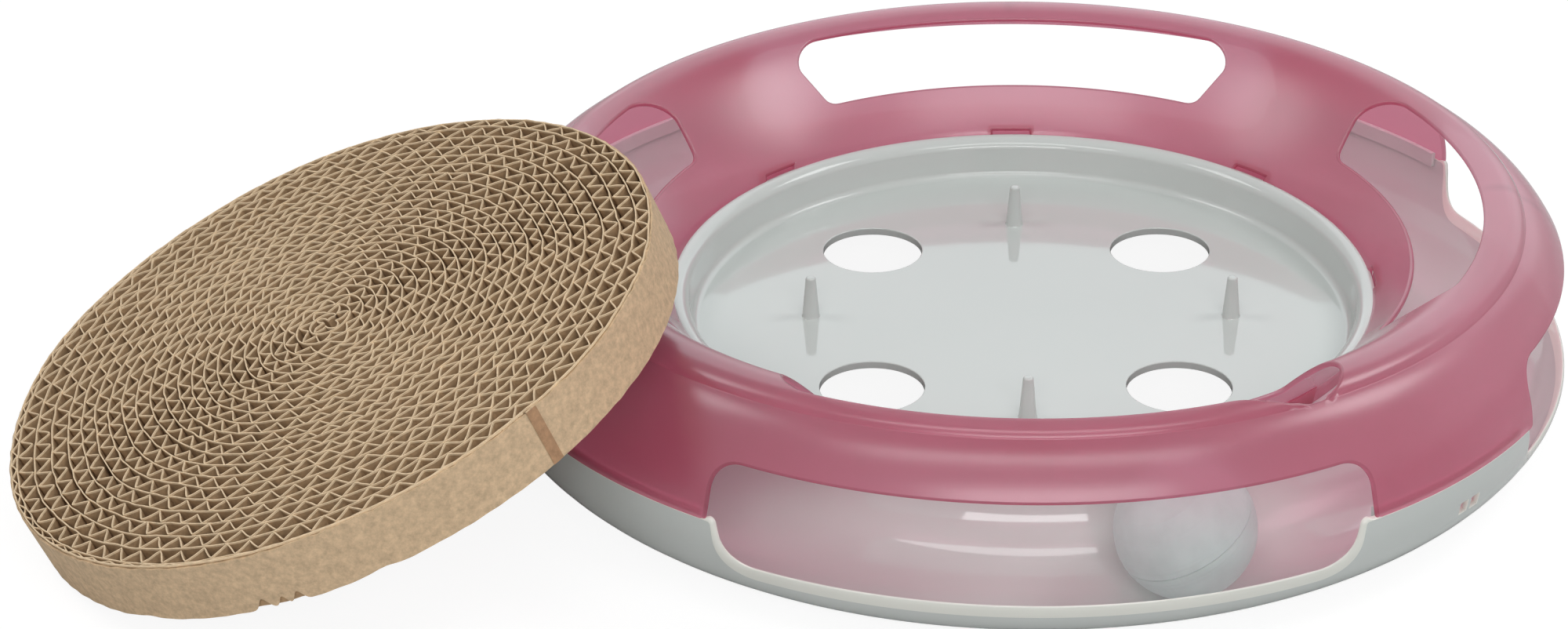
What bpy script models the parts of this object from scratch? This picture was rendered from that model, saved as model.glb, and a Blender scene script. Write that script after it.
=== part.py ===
"""Cat scratcher with a ball track, in metres, +Z up.

A round tray holds a wound cardboard pad on four pins. A gutter runs round the tray, a
translucent cover with four windows snaps over it, and a two-part ball rolls inside. The
pad stands beside its well, one edge on the ground and its back on the cover's crest.
The origin is on the ring's axis, at the top of the tray's floor.
"""

import math

import bmesh
import bpy
from mathutils import Matrix, Vector

# Ring, seen from above
RING_RADIUS = 0.1849
WELL_RADIUS = 0.1117
RIM_WIDTH = 0.0053
LEDGE_WIDTH = 0.0029
BASE_WALL = 0.0020
COVER_WALL = 0.0018
RING_STEPS = 64
FIT_GAP = 0.0003

# Heights above the tray's floor
RIM_SHOULDER = 0.0093
RIM_HEIGHT = 0.0136
LEDGE_DROP = 0.0049
JOINT_HEIGHT = 0.0107
GUTTER_SPRING = 0.0080
GUTTER_FLOOR = -0.0223
CREST_HEIGHT = 0.0479
TRAY_THICKNESS = 0.0026
WELL_FILLET = 0.0022

# Cover section
CREST_OUTSET = 0.0074
CREST_ROUND_WIDTH = 0.0075
CREST_ROUND_HEIGHT = 0.0074
CREST_ROUND_TURN = math.radians(60)
INNER_FLANK_POWER = 1.75
OUTER_FLANK_POWER = 1.35

# Windows in the cover and the scoops below them
WINDOW_COUNT = 4
INNER_HALF_ANGLE = math.radians(32.3)
INNER_CORNER = 0.0105
INNER_SILL_INSET = 0.0117
INNER_HEAD_INSET = 0.0077
OUTER_HALF_ANGLE = math.radians(32.9)
OUTER_HEAD_DROP = 0.0182
OUTER_HEAD_CORNER = 0.0130
SCOOP_DEPTH = 0.0149
SCOOP_CORNER = 0.0110

# Pins and holes in the tray
PIN_CIRCLE = 0.0710
PIN_COUNT = 4
PIN_HEIGHT = 0.0147
PIN_FOOT_RADIUS = 0.0039
PIN_TIP_RADIUS = 0.0022
HOLE_RADIUS = 0.01725

# Snap hooks at the posts and snap lugs round the rim
HOOK_WIDTH = 0.0090
HOOK_THICKNESS = 0.0015
HOOK_NIB = 0.0014
HOOK_NIB_HEIGHT = 0.0024
HOOK_DROP = 0.0099
HOOK_ROOT = 0.0100
SLOT_CLEARANCE = 0.0004
LUG_COUNT = 8
LUG_WIDTH = 0.0086
LUG_HEIGHT = 0.0022
LUG_PROUD = 0.0011
LUG_DROP = 0.0006
LUG_WINDOW_RISE = 0.0020

# Ball
BALL_SIDE_PLAY = 0.0092
BALL_ORBIT_INSET = 0.0018
BALL_WALL = 0.0015
BALL_FLOOR_GAP = 0.0006
BALL_COLLAR_DEPTH = 0.0080
BALL_COLLAR_RISE = 0.0028
BALL_COLLAR_WALL = 0.0010
BALL_AZIMUTH = math.radians(-72.2)
BALL_SEAM_TILT = math.radians(29.4)
BALL_SEAM_HEADING = math.radians(194.4)
BALL_STEPS = 28

# Feet under the gutter
FOOT_COUNT = 4
FOOT_RADIUS = 0.0060
FOOT_THICKNESS = 0.0012
FOOT_RECESS = 0.0006
FOOT_PROUD = 0.0007
FOOT_BEVEL = 0.0003

# Cardboard pad and the way it leans
PAD_CLEARANCE = 0.0006
PAD_THICKNESS = 0.0215
BOARD_PITCH = 0.00465
BOARD_THICKNESS = 0.0036
CORE_RADIUS = 0.0034
TURN_POINTS = 24
WRAP_THICKNESS = 0.0008
WRAP_OVERLAP = math.radians(17)
WRAP_SEAM = math.radians(112.5)
WRAP_STEP = 0.0004
WRAP_POINTS = 72
PAD_HEADING = math.radians(199.8)
PAD_TILT = math.radians(22.9)

# Radii and heights that follow from the sizes above
RIM_RADIUS = WELL_RADIUS + RIM_WIDTH
SKIRT_RADIUS = RIM_RADIUS + FIT_GAP
INNER_WALL_RADIUS = RIM_RADIUS + LEDGE_WIDTH
OUTER_WALL_RADIUS = RING_RADIUS - BASE_WALL
TRACK_RADIUS = (INNER_WALL_RADIUS + OUTER_WALL_RADIUS) / 2
CREST_RADIUS = TRACK_RADIUS + CREST_OUTSET
LEDGE_HEIGHT = RIM_HEIGHT - LEDGE_DROP
GUTTER_BOTTOM = GUTTER_FLOOR - BASE_WALL
GROUND = GUTTER_BOTTOM - FOOT_PROUD
BALL_RADIUS = (OUTER_WALL_RADIUS - INNER_WALL_RADIUS) / 2 - BALL_SIDE_PLAY
PAD_RADIUS = WELL_RADIUS - PAD_CLEARANCE

PARTS = "cat_scratcher_with_ball_track"
CUTTERS = "cutters"


def new_collection(name):
    collection = bpy.data.collections.new(name)
    bpy.context.scene.collection.children.link(collection)
    return collection


def clear_scene():
    for thing in list(bpy.data.objects):
        bpy.data.objects.remove(thing, do_unlink=True)


def plastic(name, colour, roughness, alpha=1.0):
    """A Principled material; alpha below 1 is for the translucent mouldings."""
    material = bpy.data.materials.new(name)
    material.use_nodes = True
    shader = material.node_tree.nodes["Principled BSDF"]
    shader.inputs["Base Color"].default_value = (*colour, 1.0)
    shader.inputs["Roughness"].default_value = roughness
    shader.inputs["Metallic"].default_value = 0.0
    shader.inputs["Alpha"].default_value = alpha
    return material


def add_object(name, mesh, material=None):
    """A piece of the object goes in the parts, and a shape with no material in the cutters."""
    made = bpy.data.objects.new(name, mesh)
    bpy.data.collections[PARTS if material else CUTTERS].objects.link(made)
    if material:
        mesh.materials.append(material)
    else:
        made.hide_render = True
        made.display_type = "WIRE"
    return made


def ellipse_arc(centre, radii, start, end, steps):
    """Points from one angle to another, in degrees from +r towards +z."""
    points = []
    for step in range(steps + 1):
        angle = math.radians(start + (end - start) * step / steps)
        points.append(
            (centre[0] + radii[0] * math.cos(angle), centre[1] + radii[1] * math.sin(angle))
        )
    return points


def turned(name, outline, steps, material=None, closed=False):
    """A solid of revolution whose outline runs down its outer side."""
    mesh = bpy.data.meshes.new(name)
    form = bmesh.new()
    points = [form.verts.new((radius, 0.0, height)) for radius, height in outline]
    for first, second in zip(points, points[1:]):
        form.edges.new((first, second))
    if closed:
        form.edges.new((points[-1], points[0]))
    form.to_mesh(mesh)
    form.free()
    made = add_object(name, mesh, material)
    screw = made.modifiers.new("turn", "SCREW")
    screw.axis = "Z"
    screw.steps = steps
    screw.render_steps = steps
    screw.use_merge_vertices = True
    screw.merge_threshold = 0.0001
    screw.use_smooth_shade = True
    return made


def prism(name, section, width, material=None):
    """A section in the plane of radius and height, given the width across that plane."""
    mesh = bpy.data.meshes.new(name)
    form = bmesh.new()
    corners = [form.verts.new((radius, -width / 2, height)) for radius, height in section]
    face = form.faces.new(corners)
    grown = bmesh.ops.extrude_face_region(form, geom=[face])["geom"]
    moved = [item for item in grown if isinstance(item, bmesh.types.BMVert)]
    bmesh.ops.translate(form, verts=moved, vec=(0.0, width, 0.0))
    bmesh.ops.recalc_face_normals(form, faces=form.faces)
    form.to_mesh(mesh)
    form.free()
    return add_object(name, mesh, material)


def cylinder(name, radius, low, high, steps, material=None):
    mesh = bpy.data.meshes.new(name)
    form = bmesh.new()
    bmesh.ops.create_cone(
        form, cap_ends=True, segments=steps, radius1=radius, radius2=radius, depth=high - low
    )
    bmesh.ops.translate(form, verts=form.verts, vec=(0.0, 0.0, (low + high) / 2))
    form.to_mesh(mesh)
    form.free()
    return add_object(name, mesh, material)


def turn_to(thing, angle, radius=0.0):
    """Turns a shape about the ring's axis, after moving it out along +X."""
    thing.location = (radius * math.cos(angle), radius * math.sin(angle), 0.0)
    thing.rotation_euler = (0.0, 0.0, angle)
    return thing


def boolean(target, tool, operation):
    modifier = target.modifiers.new(tool.name, "BOOLEAN")
    modifier.operation = operation
    modifier.solver = "EXACT"
    modifier.object = tool


def smooth_faces(thing, angle=35):
    thing.data.shade_smooth()
    thing.data.set_sharp_from_angle(angle=math.radians(angle))


def corner_inset(distance, corner):
    """How far a rounded corner draws the edge in, at a distance from the window's end."""
    if distance >= corner:
        return 0.0
    return corner - math.sqrt(corner**2 - (corner - distance) ** 2)


def window_columns(half_width, corner, corner_steps=5, middle_steps=12):
    """Places across a window: close together in the corners, even between them."""
    near = [corner * (1 - math.cos(math.pi / 2 * i / corner_steps)) for i in range(corner_steps)]
    span = 2 * (half_width - corner)
    middle = [corner + span * i / middle_steps for i in range(middle_steps + 1)]
    far = [2 * half_width - distance for distance in reversed(near)]
    return near + middle + far


def window_cutter(name, foot, head, half_angle, corners, reach):
    """A cutter for a window in the turned wall.

    The window's edges run round the axis at foot and head, both (radius, height), and
    its ends lie half_angle to each side of +X. Corners gives the radii of its lower and
    upper corners, and reach how far it cuts on the line's right and on its left.
    """
    along = Vector(head) - Vector(foot)
    height = along.length
    along.normalize()
    normal = Vector((-along.y, along.x))
    reference = (foot[0] + head[0]) / 2
    half_width = reference * half_angle
    form = bmesh.new()
    columns = []
    for distance in window_columns(half_width, max(corners)):
        from_end = min(distance, 2 * half_width - distance)
        low = corner_inset(from_end, corners[0])
        high = height - corner_inset(from_end, corners[1])
        angle = (distance - half_width) / reference
        column = []
        right, left = -reach[0], reach[1]
        for level, depth in ((low, right), (high, right), (high, left), (low, left)):
            radius, rise = Vector(foot) + along * level + normal * depth
            column.append(form.verts.new((radius * math.cos(angle), radius * math.sin(angle), rise)))
        columns.append(column)
    for first, second in zip(columns, columns[1:]):
        for corner in range(4):
            following = (corner + 1) % 4
            form.faces.new((first[corner], first[following], second[following], second[corner]))
    form.faces.new(columns[0])
    form.faces.new(columns[-1])
    bmesh.ops.recalc_face_normals(form, faces=form.faces)
    mesh = bpy.data.meshes.new(name)
    form.to_mesh(mesh)
    form.free()
    return add_object(name, mesh)


def inner_flank(radius):
    """Height of the cover's outside on its inner flank, from the skirt to the crest."""
    share = (CREST_RADIUS - radius) / (CREST_RADIUS - SKIRT_RADIUS)
    return RIM_HEIGHT + (CREST_HEIGHT - RIM_HEIGHT) * (1 - share**INNER_FLANK_POWER)


def crest_round(steps):
    """The rounded crest, from its highest line out to the crease."""
    centre = (CREST_RADIUS, CREST_HEIGHT - CREST_ROUND_HEIGHT)
    radii = (CREST_ROUND_WIDTH, CREST_ROUND_HEIGHT)
    end = 90 - math.degrees(CREST_ROUND_TURN)
    return ellipse_arc(centre, radii, 90, end, steps)


def outer_flank_radius(height):
    """Radius of the cover's outside below the crease."""
    crease = crest_round(1)[-1]
    seat = JOINT_HEIGHT + FIT_GAP
    share = (height - seat) / (crease[1] - seat)
    rest = max(0.0, 1 - share**OUTER_FLANK_POWER) ** (1 / OUTER_FLANK_POWER)
    return crease[0] + (RING_RADIUS - crease[0]) * rest


def cover_outside():
    """The cover's outer line, from the skirt's hidden edge over the crest to the joint."""
    line = [(SKIRT_RADIUS, LEDGE_HEIGHT + FIT_GAP)]
    flank_steps = 7
    for step in range(flank_steps):
        share = (step / flank_steps) ** 0.9
        radius = SKIRT_RADIUS + (CREST_RADIUS - SKIRT_RADIUS) * share
        line.append((radius, inner_flank(radius)))
    line += crest_round(3)
    crease_height = line[-1][1]
    seat = JOINT_HEIGHT + FIT_GAP
    for share in (0.94, 0.82, 0.62, 0.40, 0.18, 0.0):
        height = seat + (crease_height - seat) * share
        line.append((outer_flank_radius(height), height))
    return line


def offset_line(line, distance):
    """The line moved sideways, to the right of its direction."""
    moved = []
    for index, (radius, height) in enumerate(line):
        before = Vector(line[max(index - 1, 0)])
        after = Vector(line[min(index + 1, len(line) - 1)])
        here = Vector((radius, height))
        first = (here - before).normalized() if index else (after - here).normalized()
        second = (after - here).normalized() if index + 1 < len(line) else first
        middle = (first + second).normalized()
        side = Vector((middle.y, -middle.x))
        moved.append(tuple(here + side * distance / max(0.5, middle.dot(first))))
    return moved


def gutter(side_in, side_out, depth, steps):
    """Half an oval, from the outer wall's spring line down and up to the inner wall."""
    centre = (TRACK_RADIUS, GUTTER_SPRING)
    drop = GUTTER_SPRING - depth
    outer = ellipse_arc(centre, (side_out - TRACK_RADIUS, drop), 0, -90, steps)
    inner = ellipse_arc(centre, (TRACK_RADIUS - side_in, drop), -90, -180, steps)
    return outer + inner[1:]


def base_outline():
    """The base's section, from the tray's top outwards and back along the underside."""
    fillet_centre = (WELL_RADIUS - WELL_FILLET, WELL_FILLET)
    top = [(0.0, 0.0)]
    top += ellipse_arc(fillet_centre, (WELL_FILLET, WELL_FILLET), -90, 0, 2)
    rim_centre = (RIM_RADIUS, RIM_SHOULDER)
    top += ellipse_arc(rim_centre, (RIM_WIDTH, RIM_HEIGHT - RIM_SHOULDER), 180, 90, 3)
    top += [(RIM_RADIUS, LEDGE_HEIGHT), (INNER_WALL_RADIUS, LEDGE_HEIGHT)]
    inside = gutter(INNER_WALL_RADIUS, OUTER_WALL_RADIUS, GUTTER_FLOOR, 6)
    top += list(reversed(inside))
    top += [(OUTER_WALL_RADIUS, JOINT_HEIGHT), (RING_RADIUS, JOINT_HEIGHT)]
    outside = gutter(INNER_WALL_RADIUS - BASE_WALL, RING_RADIUS, GUTTER_BOTTOM, 6)
    roof = LEDGE_HEIGHT - BASE_WALL
    hollow = [
        (INNER_WALL_RADIUS - BASE_WALL, roof),
        (WELL_RADIUS + BASE_WALL, roof),
        (WELL_RADIUS + BASE_WALL, -TRAY_THICKNESS),
        (0.0, -TRAY_THICKNESS),
    ]
    if outside[-1][1] >= roof:
        outside.pop()
    return top + outside + hollow


def spaced(count, first=0.0):
    return [first + 2 * math.pi * index / count for index in range(count)]


def post_angles():
    return spaced(WINDOW_COUNT, math.pi / WINDOW_COUNT)


def cut_windows(base, cover):
    """Inner windows in the cover's flank, and outer ones that run down into the base."""
    sill_radius = SKIRT_RADIUS + INNER_SILL_INSET
    head_radius = CREST_RADIUS - INNER_HEAD_INSET
    sill = (sill_radius, inner_flank(sill_radius))
    head = (head_radius, inner_flank(head_radius))
    low = (RING_RADIUS, JOINT_HEIGHT - SCOOP_DEPTH)
    high = (RING_RADIUS, CREST_HEIGHT - OUTER_HEAD_DROP)
    inner_corners = (INNER_CORNER, INNER_CORNER)
    outer_corners = (SCOOP_CORNER, OUTER_HEAD_CORNER)
    past_wall = 4 * BASE_WALL
    to_track = (RING_RADIUS - TRACK_RADIUS) / 2
    for index, angle in enumerate(spaced(WINDOW_COUNT)):
        inner = window_cutter(
            f"inner_window_{index}", sill, head, INNER_HALF_ANGLE, inner_corners, (past_wall, past_wall)
        )
        outer = window_cutter(
            f"outer_window_{index}", low, high, OUTER_HALF_ANGLE, outer_corners, (past_wall, to_track)
        )
        for cutter in (inner, outer):
            turn_to(cutter, angle)
            boolean(cover, cutter, "DIFFERENCE")
        boolean(base, outer, "DIFFERENCE")


def pin_outline():
    tip = ellipse_arc((0.0, PIN_HEIGHT - PIN_TIP_RADIUS), (PIN_TIP_RADIUS, PIN_TIP_RADIUS), 90, 10, 3)
    buried = -TRAY_THICKNESS / 2
    foot = [(PIN_FOOT_RADIUS, 0.0), (PIN_FOOT_RADIUS, buried), (0.0, buried)]
    return [(0.0, PIN_HEIGHT)] + tip[1:] + foot


def hook_section():
    """A springy tongue under the cover's edge, with a nib that clicks into the base."""
    nib_top = JOINT_HEIGHT - HOOK_DROP + HOOK_NIB_HEIGHT
    tip = JOINT_HEIGHT - HOOK_DROP - HOOK_THICKNESS
    wall = base_inside_radius(tip) - FIT_GAP
    tongue = wall - HOOK_THICKNESS
    seat = JOINT_HEIGHT + FIT_GAP
    root = seat + HOOK_ROOT
    inside = COVER_WALL / 2
    return [
        (tongue, tip),
        (tongue, root),
        (outer_flank_radius(root) - inside, root),
        (outer_flank_radius(seat + HOOK_ROOT / 2) - inside, seat + HOOK_ROOT / 2),
        (RING_RADIUS - inside, seat),
        (RING_RADIUS - BASE_WALL - FIT_GAP, seat),
        (wall, seat - FIT_GAP - HOOK_THICKNESS),
        (wall, nib_top),
        (wall + HOOK_NIB, nib_top - HOOK_NIB / 4),
        (wall + HOOK_NIB, nib_top - HOOK_NIB_HEIGHT / 2),
        (wall, tip + HOOK_THICKNESS / 2),
    ]


def base_inside_radius(height):
    """Radius of the gutter's outer wall, on the track's side."""
    drop = GUTTER_SPRING - GUTTER_FLOOR
    share = min(1.0, max(-1.0, (GUTTER_SPRING - height) / drop))
    return TRACK_RADIUS + (OUTER_WALL_RADIUS - TRACK_RADIUS) * math.sqrt(1 - share**2)


def add_hooks(base, cover):
    nib_top = JOINT_HEIGHT - HOOK_DROP + HOOK_NIB_HEIGHT
    slot_low = nib_top - HOOK_NIB_HEIGHT - SLOT_CLEARANCE
    slot_high = nib_top + SLOT_CLEARANCE
    slot_section = [
        (OUTER_WALL_RADIUS - 3 * BASE_WALL, slot_low),
        (RING_RADIUS + BASE_WALL, slot_low),
        (RING_RADIUS + BASE_WALL, slot_high),
        (OUTER_WALL_RADIUS - 3 * BASE_WALL, slot_high),
    ]
    for index, angle in enumerate(post_angles()):
        hook = turn_to(prism(f"hook_{index}", hook_section(), HOOK_WIDTH), angle)
        boolean(cover, hook, "UNION")
        slot = prism(f"slot_{index}", slot_section, HOOK_WIDTH + 2 * SLOT_CLEARANCE)
        boolean(base, turn_to(slot, angle), "DIFFERENCE")


def add_lugs(base, cover):
    """Small ramps on the rim's step, each showing in a notch of the cover's skirt."""
    high = RIM_HEIGHT - LUG_DROP
    low = high - LUG_HEIGHT
    lug = [
        (RIM_RADIUS - BASE_WALL / 2, low - LUG_PROUD),
        (RIM_RADIUS, low - LUG_PROUD),
        (RIM_RADIUS + LUG_PROUD, low),
        (RIM_RADIUS + LUG_PROUD, high - LUG_PROUD / 2),
        (RIM_RADIUS, high),
        (RIM_RADIUS - BASE_WALL / 2, high),
    ]
    notch_low = low - LUG_PROUD - SLOT_CLEARANCE
    notch_high = RIM_HEIGHT + LUG_WINDOW_RISE
    notch = [
        (SKIRT_RADIUS - COVER_WALL, notch_low),
        (SKIRT_RADIUS + 3 * COVER_WALL, notch_low),
        (SKIRT_RADIUS + 3 * COVER_WALL, notch_high),
        (SKIRT_RADIUS - COVER_WALL, notch_high),
    ]
    for index, angle in enumerate(spaced(LUG_COUNT)):
        boolean(base, turn_to(prism(f"lug_{index}", lug, LUG_WIDTH), angle), "UNION")
        gap = prism(f"notch_{index}", notch, LUG_WIDTH + 4 * SLOT_CLEARANCE)
        boolean(cover, turn_to(gap, angle), "DIFFERENCE")


def make_ring():
    """The base with its tray and gutter, and the cover that snaps on it."""
    off_white = plastic("base_plastic", (0.60, 0.62, 0.58), 0.28)
    pink = plastic("cover_plastic", (0.45, 0.14, 0.19), 0.32, 0.85)
    base = turned("base_tray", base_outline(), RING_STEPS, off_white)
    outside = cover_outside()
    inside = offset_line(outside, COVER_WALL)
    inside[-1] = (RING_RADIUS - COVER_WALL, outside[-1][1])
    cover = turned("cover_ring", outside + list(reversed(inside)), RING_STEPS, pink, closed=True)
    cut_windows(base, cover)
    for index, angle in enumerate(spaced(PIN_COUNT)):
        pin = turned(f"pin_{index}", pin_outline(), 14)
        boolean(base, turn_to(pin, angle, PIN_CIRCLE), "UNION")
    for index, angle in enumerate(spaced(PIN_COUNT, math.pi / PIN_COUNT)):
        hole = cylinder(f"hole_{index}", HOLE_RADIUS, -2 * TRAY_THICKNESS, TRAY_THICKNESS, 32)
        boolean(base, turn_to(hole, angle, PIN_CIRCLE), "DIFFERENCE")
    add_hooks(base, cover)
    add_lugs(base, cover)
    return base


def make_feet(base):
    """Round anti-slip pads, each in a shallow recess under the gutter."""
    rubber = plastic("foot_rubber", (0.55, 0.56, 0.54), 0.75)
    names = ("foot_right_rear", "foot_left_rear", "foot_left_front", "foot_right_front")
    for name, angle in zip(names, spaced(FOOT_COUNT, math.pi / FOOT_COUNT)):
        roof = GUTTER_BOTTOM + FOOT_RECESS
        recess = cylinder(f"{name}_recess", FOOT_RADIUS + FIT_GAP, GROUND - FOOT_THICKNESS, roof, 24)
        boolean(base, turn_to(recess, angle, TRACK_RADIUS), "DIFFERENCE")
        top = roof - FIT_GAP
        foot = turn_to(cylinder(name, FOOT_RADIUS, GROUND, top, 20, rubber), angle, TRACK_RADIUS)
        bevel = foot.modifiers.new("edge", "BEVEL")
        bevel.width = FOOT_BEVEL
        bevel.segments = 1
        smooth_faces(foot)


def make_ball():
    """Two moulded shells; the lower one's collar sits inside the upper one."""
    milky = plastic("ball_plastic", (0.66, 0.70, 0.71), 0.35, 0.8)
    inner = BALL_RADIUS - BALL_WALL
    seam = FIT_GAP / 2
    seam_angle = math.degrees(math.asin(seam / BALL_RADIUS))
    inner_angle = math.degrees(math.asin(seam / inner))
    upper = ellipse_arc((0, 0), (BALL_RADIUS, BALL_RADIUS), 90, seam_angle, 7)
    upper += ellipse_arc((0, 0), (inner, inner), inner_angle, 90, 6)
    collar_out = math.sqrt(inner**2 - BALL_COLLAR_RISE**2) - FIT_GAP
    collar_in = math.sqrt(inner**2 - BALL_COLLAR_DEPTH**2)
    collar_in = min(collar_in, collar_out - BALL_COLLAR_WALL)
    floor_angle = math.degrees(math.acos(collar_in / inner))
    lower = ellipse_arc((0, 0), (inner, inner), -90, -floor_angle, 5)
    lower += [(collar_in, BALL_COLLAR_RISE), (collar_out, BALL_COLLAR_RISE), (collar_out, -seam)]
    lower += ellipse_arc((0, 0), (BALL_RADIUS, BALL_RADIUS), -seam_angle, -90, 7)
    orbit = TRACK_RADIUS - BALL_ORBIT_INSET
    centre = Vector((orbit, 0.0, GUTTER_FLOOR + BALL_RADIUS + BALL_FLOOR_GAP))
    axis = bpy.data.objects.new("ball_orbit_axis", None)
    bpy.data.collections[PARTS].objects.link(axis)
    axis.rotation_euler = (0.0, 0.0, BALL_AZIMUTH)
    heading = BALL_SEAM_HEADING - BALL_AZIMUTH
    lean = Matrix.Rotation(heading, 4, "Z") @ Matrix.Rotation(BALL_SEAM_TILT, 4, "Y")
    for name, outline in (("ball_upper_half", upper), ("ball_lower_half", lower)):
        half = turned(name, snapped_to_axis(outline), BALL_STEPS, milky)
        half.parent = axis
        half.matrix_local = Matrix.Translation(centre) @ lean


def snapped_to_axis(outline):
    """The outline with its first and last points exactly on the axis."""
    first = (0.0, outline[0][1])
    last = (0.0, outline[-1][1])
    return [first] + outline[1:-1] + [last]


def winding_points():
    """The board's middle line, an even spiral out from the core."""
    outermost = PAD_RADIUS - WRAP_THICKNESS - 2 * FIT_GAP - BOARD_THICKNESS / 2
    turns = min(24.0, (outermost - CORE_RADIUS) / BOARD_PITCH)
    count = int(turns * TURN_POINTS)
    points = []
    for index in range(count + 1):
        angle = 2 * math.pi * index / TURN_POINTS
        radius = outermost - (count - index) / TURN_POINTS * BOARD_PITCH
        points.append(Vector((radius * math.cos(angle), radius * math.sin(angle), 0.0)))
    return points


def least_gap(points):
    """The least clear space between one turn of the board and the next."""
    least = math.inf
    for index in range(len(points) - TURN_POINTS - 1):
        start = points[index + TURN_POINTS]
        along = points[index + TURN_POINTS + 1] - start
        reach = points[index] - start
        share = min(1.0, max(0.0, reach.dot(along) / along.length_squared))
        least = min(least, (reach - along * share).length)
    return least - BOARD_THICKNESS


def make_winding(material):
    """One strip of corrugated board, stood on edge and wound up without a break."""
    points = winding_points()
    print(f"least gap between the board's turns: {1000 * least_gap(points):.2f} mm")
    mesh = bpy.data.meshes.new("pad_winding")
    form = bmesh.new()
    line = [form.verts.new(point) for point in points]
    edges = [form.edges.new(pair) for pair in zip(line, line[1:])]
    grown = bmesh.ops.extrude_edge_only(form, edges=edges)["geom"]
    raised = [item for item in grown if isinstance(item, bmesh.types.BMVert)]
    bmesh.ops.translate(form, verts=raised, vec=(0.0, 0.0, PAD_THICKNESS))
    form.to_mesh(mesh)
    form.free()
    winding = add_object("pad_winding", mesh, material)
    board = winding.modifiers.new("board", "SOLIDIFY")
    board.thickness = BOARD_THICKNESS
    board.offset = 0.0
    return winding


def make_wrap(material):
    """The paper band glued round the winding, thicker where its ends overlap."""
    form = bmesh.new()
    rings = []
    inner = PAD_RADIUS - WRAP_THICKNESS
    for angle in spaced(WRAP_POINTS):
        past_seam = (angle - WRAP_SEAM) % (2 * math.pi)
        outer = PAD_RADIUS + (WRAP_STEP if past_seam < WRAP_OVERLAP else 0.0)
        ring = []
        for radius, height in ((inner, 0.0), (outer, 0.0), (outer, PAD_THICKNESS), (inner, PAD_THICKNESS)):
            ring.append(form.verts.new((radius * math.cos(angle), radius * math.sin(angle), height)))
        rings.append(ring)
    for first, second in zip(rings, rings[1:] + rings[:1]):
        for corner in range(4):
            following = (corner + 1) % 4
            form.faces.new((first[corner], first[following], second[following], second[corner]))
    bmesh.ops.recalc_face_normals(form, faces=form.faces)
    mesh = bpy.data.meshes.new("pad_wrap")
    form.to_mesh(mesh)
    form.free()
    wrap = add_object("pad_wrap", mesh, material)
    smooth_faces(wrap)
    return wrap


def crest_reach(direction):
    """How far the cover reaches along a direction in the plane of radius and height."""
    return max(Vector(point).dot(direction) for point in cover_outside())


def make_pad():
    """The pad leans on the crest, with the lowest point of its edge on the ground."""
    winding_paper = plastic("pad_cardboard", (0.50, 0.36, 0.22), 0.9)
    wrap_paper = plastic("pad_kraft_paper", (0.58, 0.43, 0.28), 0.85)
    normal = Vector((math.sin(PAD_TILT), math.cos(PAD_TILT)))
    edge_radius = PAD_RADIUS + WRAP_STEP
    height = GROUND + edge_radius * math.sin(PAD_TILT)
    along = (crest_reach(normal) + FIT_GAP - height * normal.y) / normal.x
    carrier = bpy.data.objects.new("pad_lean", None)
    bpy.data.collections[PARTS].objects.link(carrier)
    carrier.location = (along * math.cos(PAD_HEADING), along * math.sin(PAD_HEADING), height)
    lean = Matrix.Rotation(PAD_HEADING, 3, "Z") @ Matrix.Rotation(PAD_TILT, 3, "Y")
    carrier.rotation_euler = lean.to_euler()
    for piece in (make_winding(winding_paper), make_wrap(wrap_paper)):
        piece.parent = carrier


def main():
    clear_scene()
    new_collection(PARTS)
    new_collection(CUTTERS)
    make_feet(make_ring())
    make_ball()
    make_pad()


main()
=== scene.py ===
import math

import bpy
import numpy as np
from mathutils import Matrix, Vector
from mathutils.geometry import delaunay_2d_cdt


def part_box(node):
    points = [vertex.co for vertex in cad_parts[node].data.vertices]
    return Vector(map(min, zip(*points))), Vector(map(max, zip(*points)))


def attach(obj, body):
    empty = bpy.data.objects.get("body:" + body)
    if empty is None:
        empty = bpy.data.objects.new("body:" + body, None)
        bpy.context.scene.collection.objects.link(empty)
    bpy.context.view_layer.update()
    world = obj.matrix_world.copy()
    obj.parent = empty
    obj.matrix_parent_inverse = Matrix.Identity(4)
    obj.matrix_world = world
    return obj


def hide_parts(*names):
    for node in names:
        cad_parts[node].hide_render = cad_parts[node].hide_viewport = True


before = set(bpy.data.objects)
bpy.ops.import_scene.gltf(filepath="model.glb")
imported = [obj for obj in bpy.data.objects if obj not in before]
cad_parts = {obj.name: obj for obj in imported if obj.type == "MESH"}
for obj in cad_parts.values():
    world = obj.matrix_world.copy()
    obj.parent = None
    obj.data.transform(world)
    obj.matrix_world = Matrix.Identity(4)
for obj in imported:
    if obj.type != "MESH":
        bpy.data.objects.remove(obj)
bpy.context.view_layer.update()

bl_info = {
    "name": "Cat scratcher with ball track",
    "version": (1, 0, 0),
    "blender": (4, 5, 0),
    "location": "3D View > Sidebar > Cat scratcher",
    "description": "Makes the ring, the ball, the cardboard pad and their photo stage",
    "category": "Add Mesh",
}

MM = 0.001
WHITE = (1, 1, 1, 1)


# Colours and settings

def srgb(red, green, blue):
    """A colour given as it looks on screen, from 0 to 255, as the values that light works with."""
    values = []
    for part in (red, green, blue):
        part = part / 255
        values.append(part / 12.92 if part <= 0.04045 else ((part + 0.055) / 1.055) ** 2.4)
    return (*values, 1.0)


def shade(colour, *shares):
    """A colour with its parts multiplied by one share, or by one each."""
    shares = shares * 3 if len(shares) == 1 else shares
    return (*(min(1.0, part * share) for part, share in zip(colour, shares)), 1.0)


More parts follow.
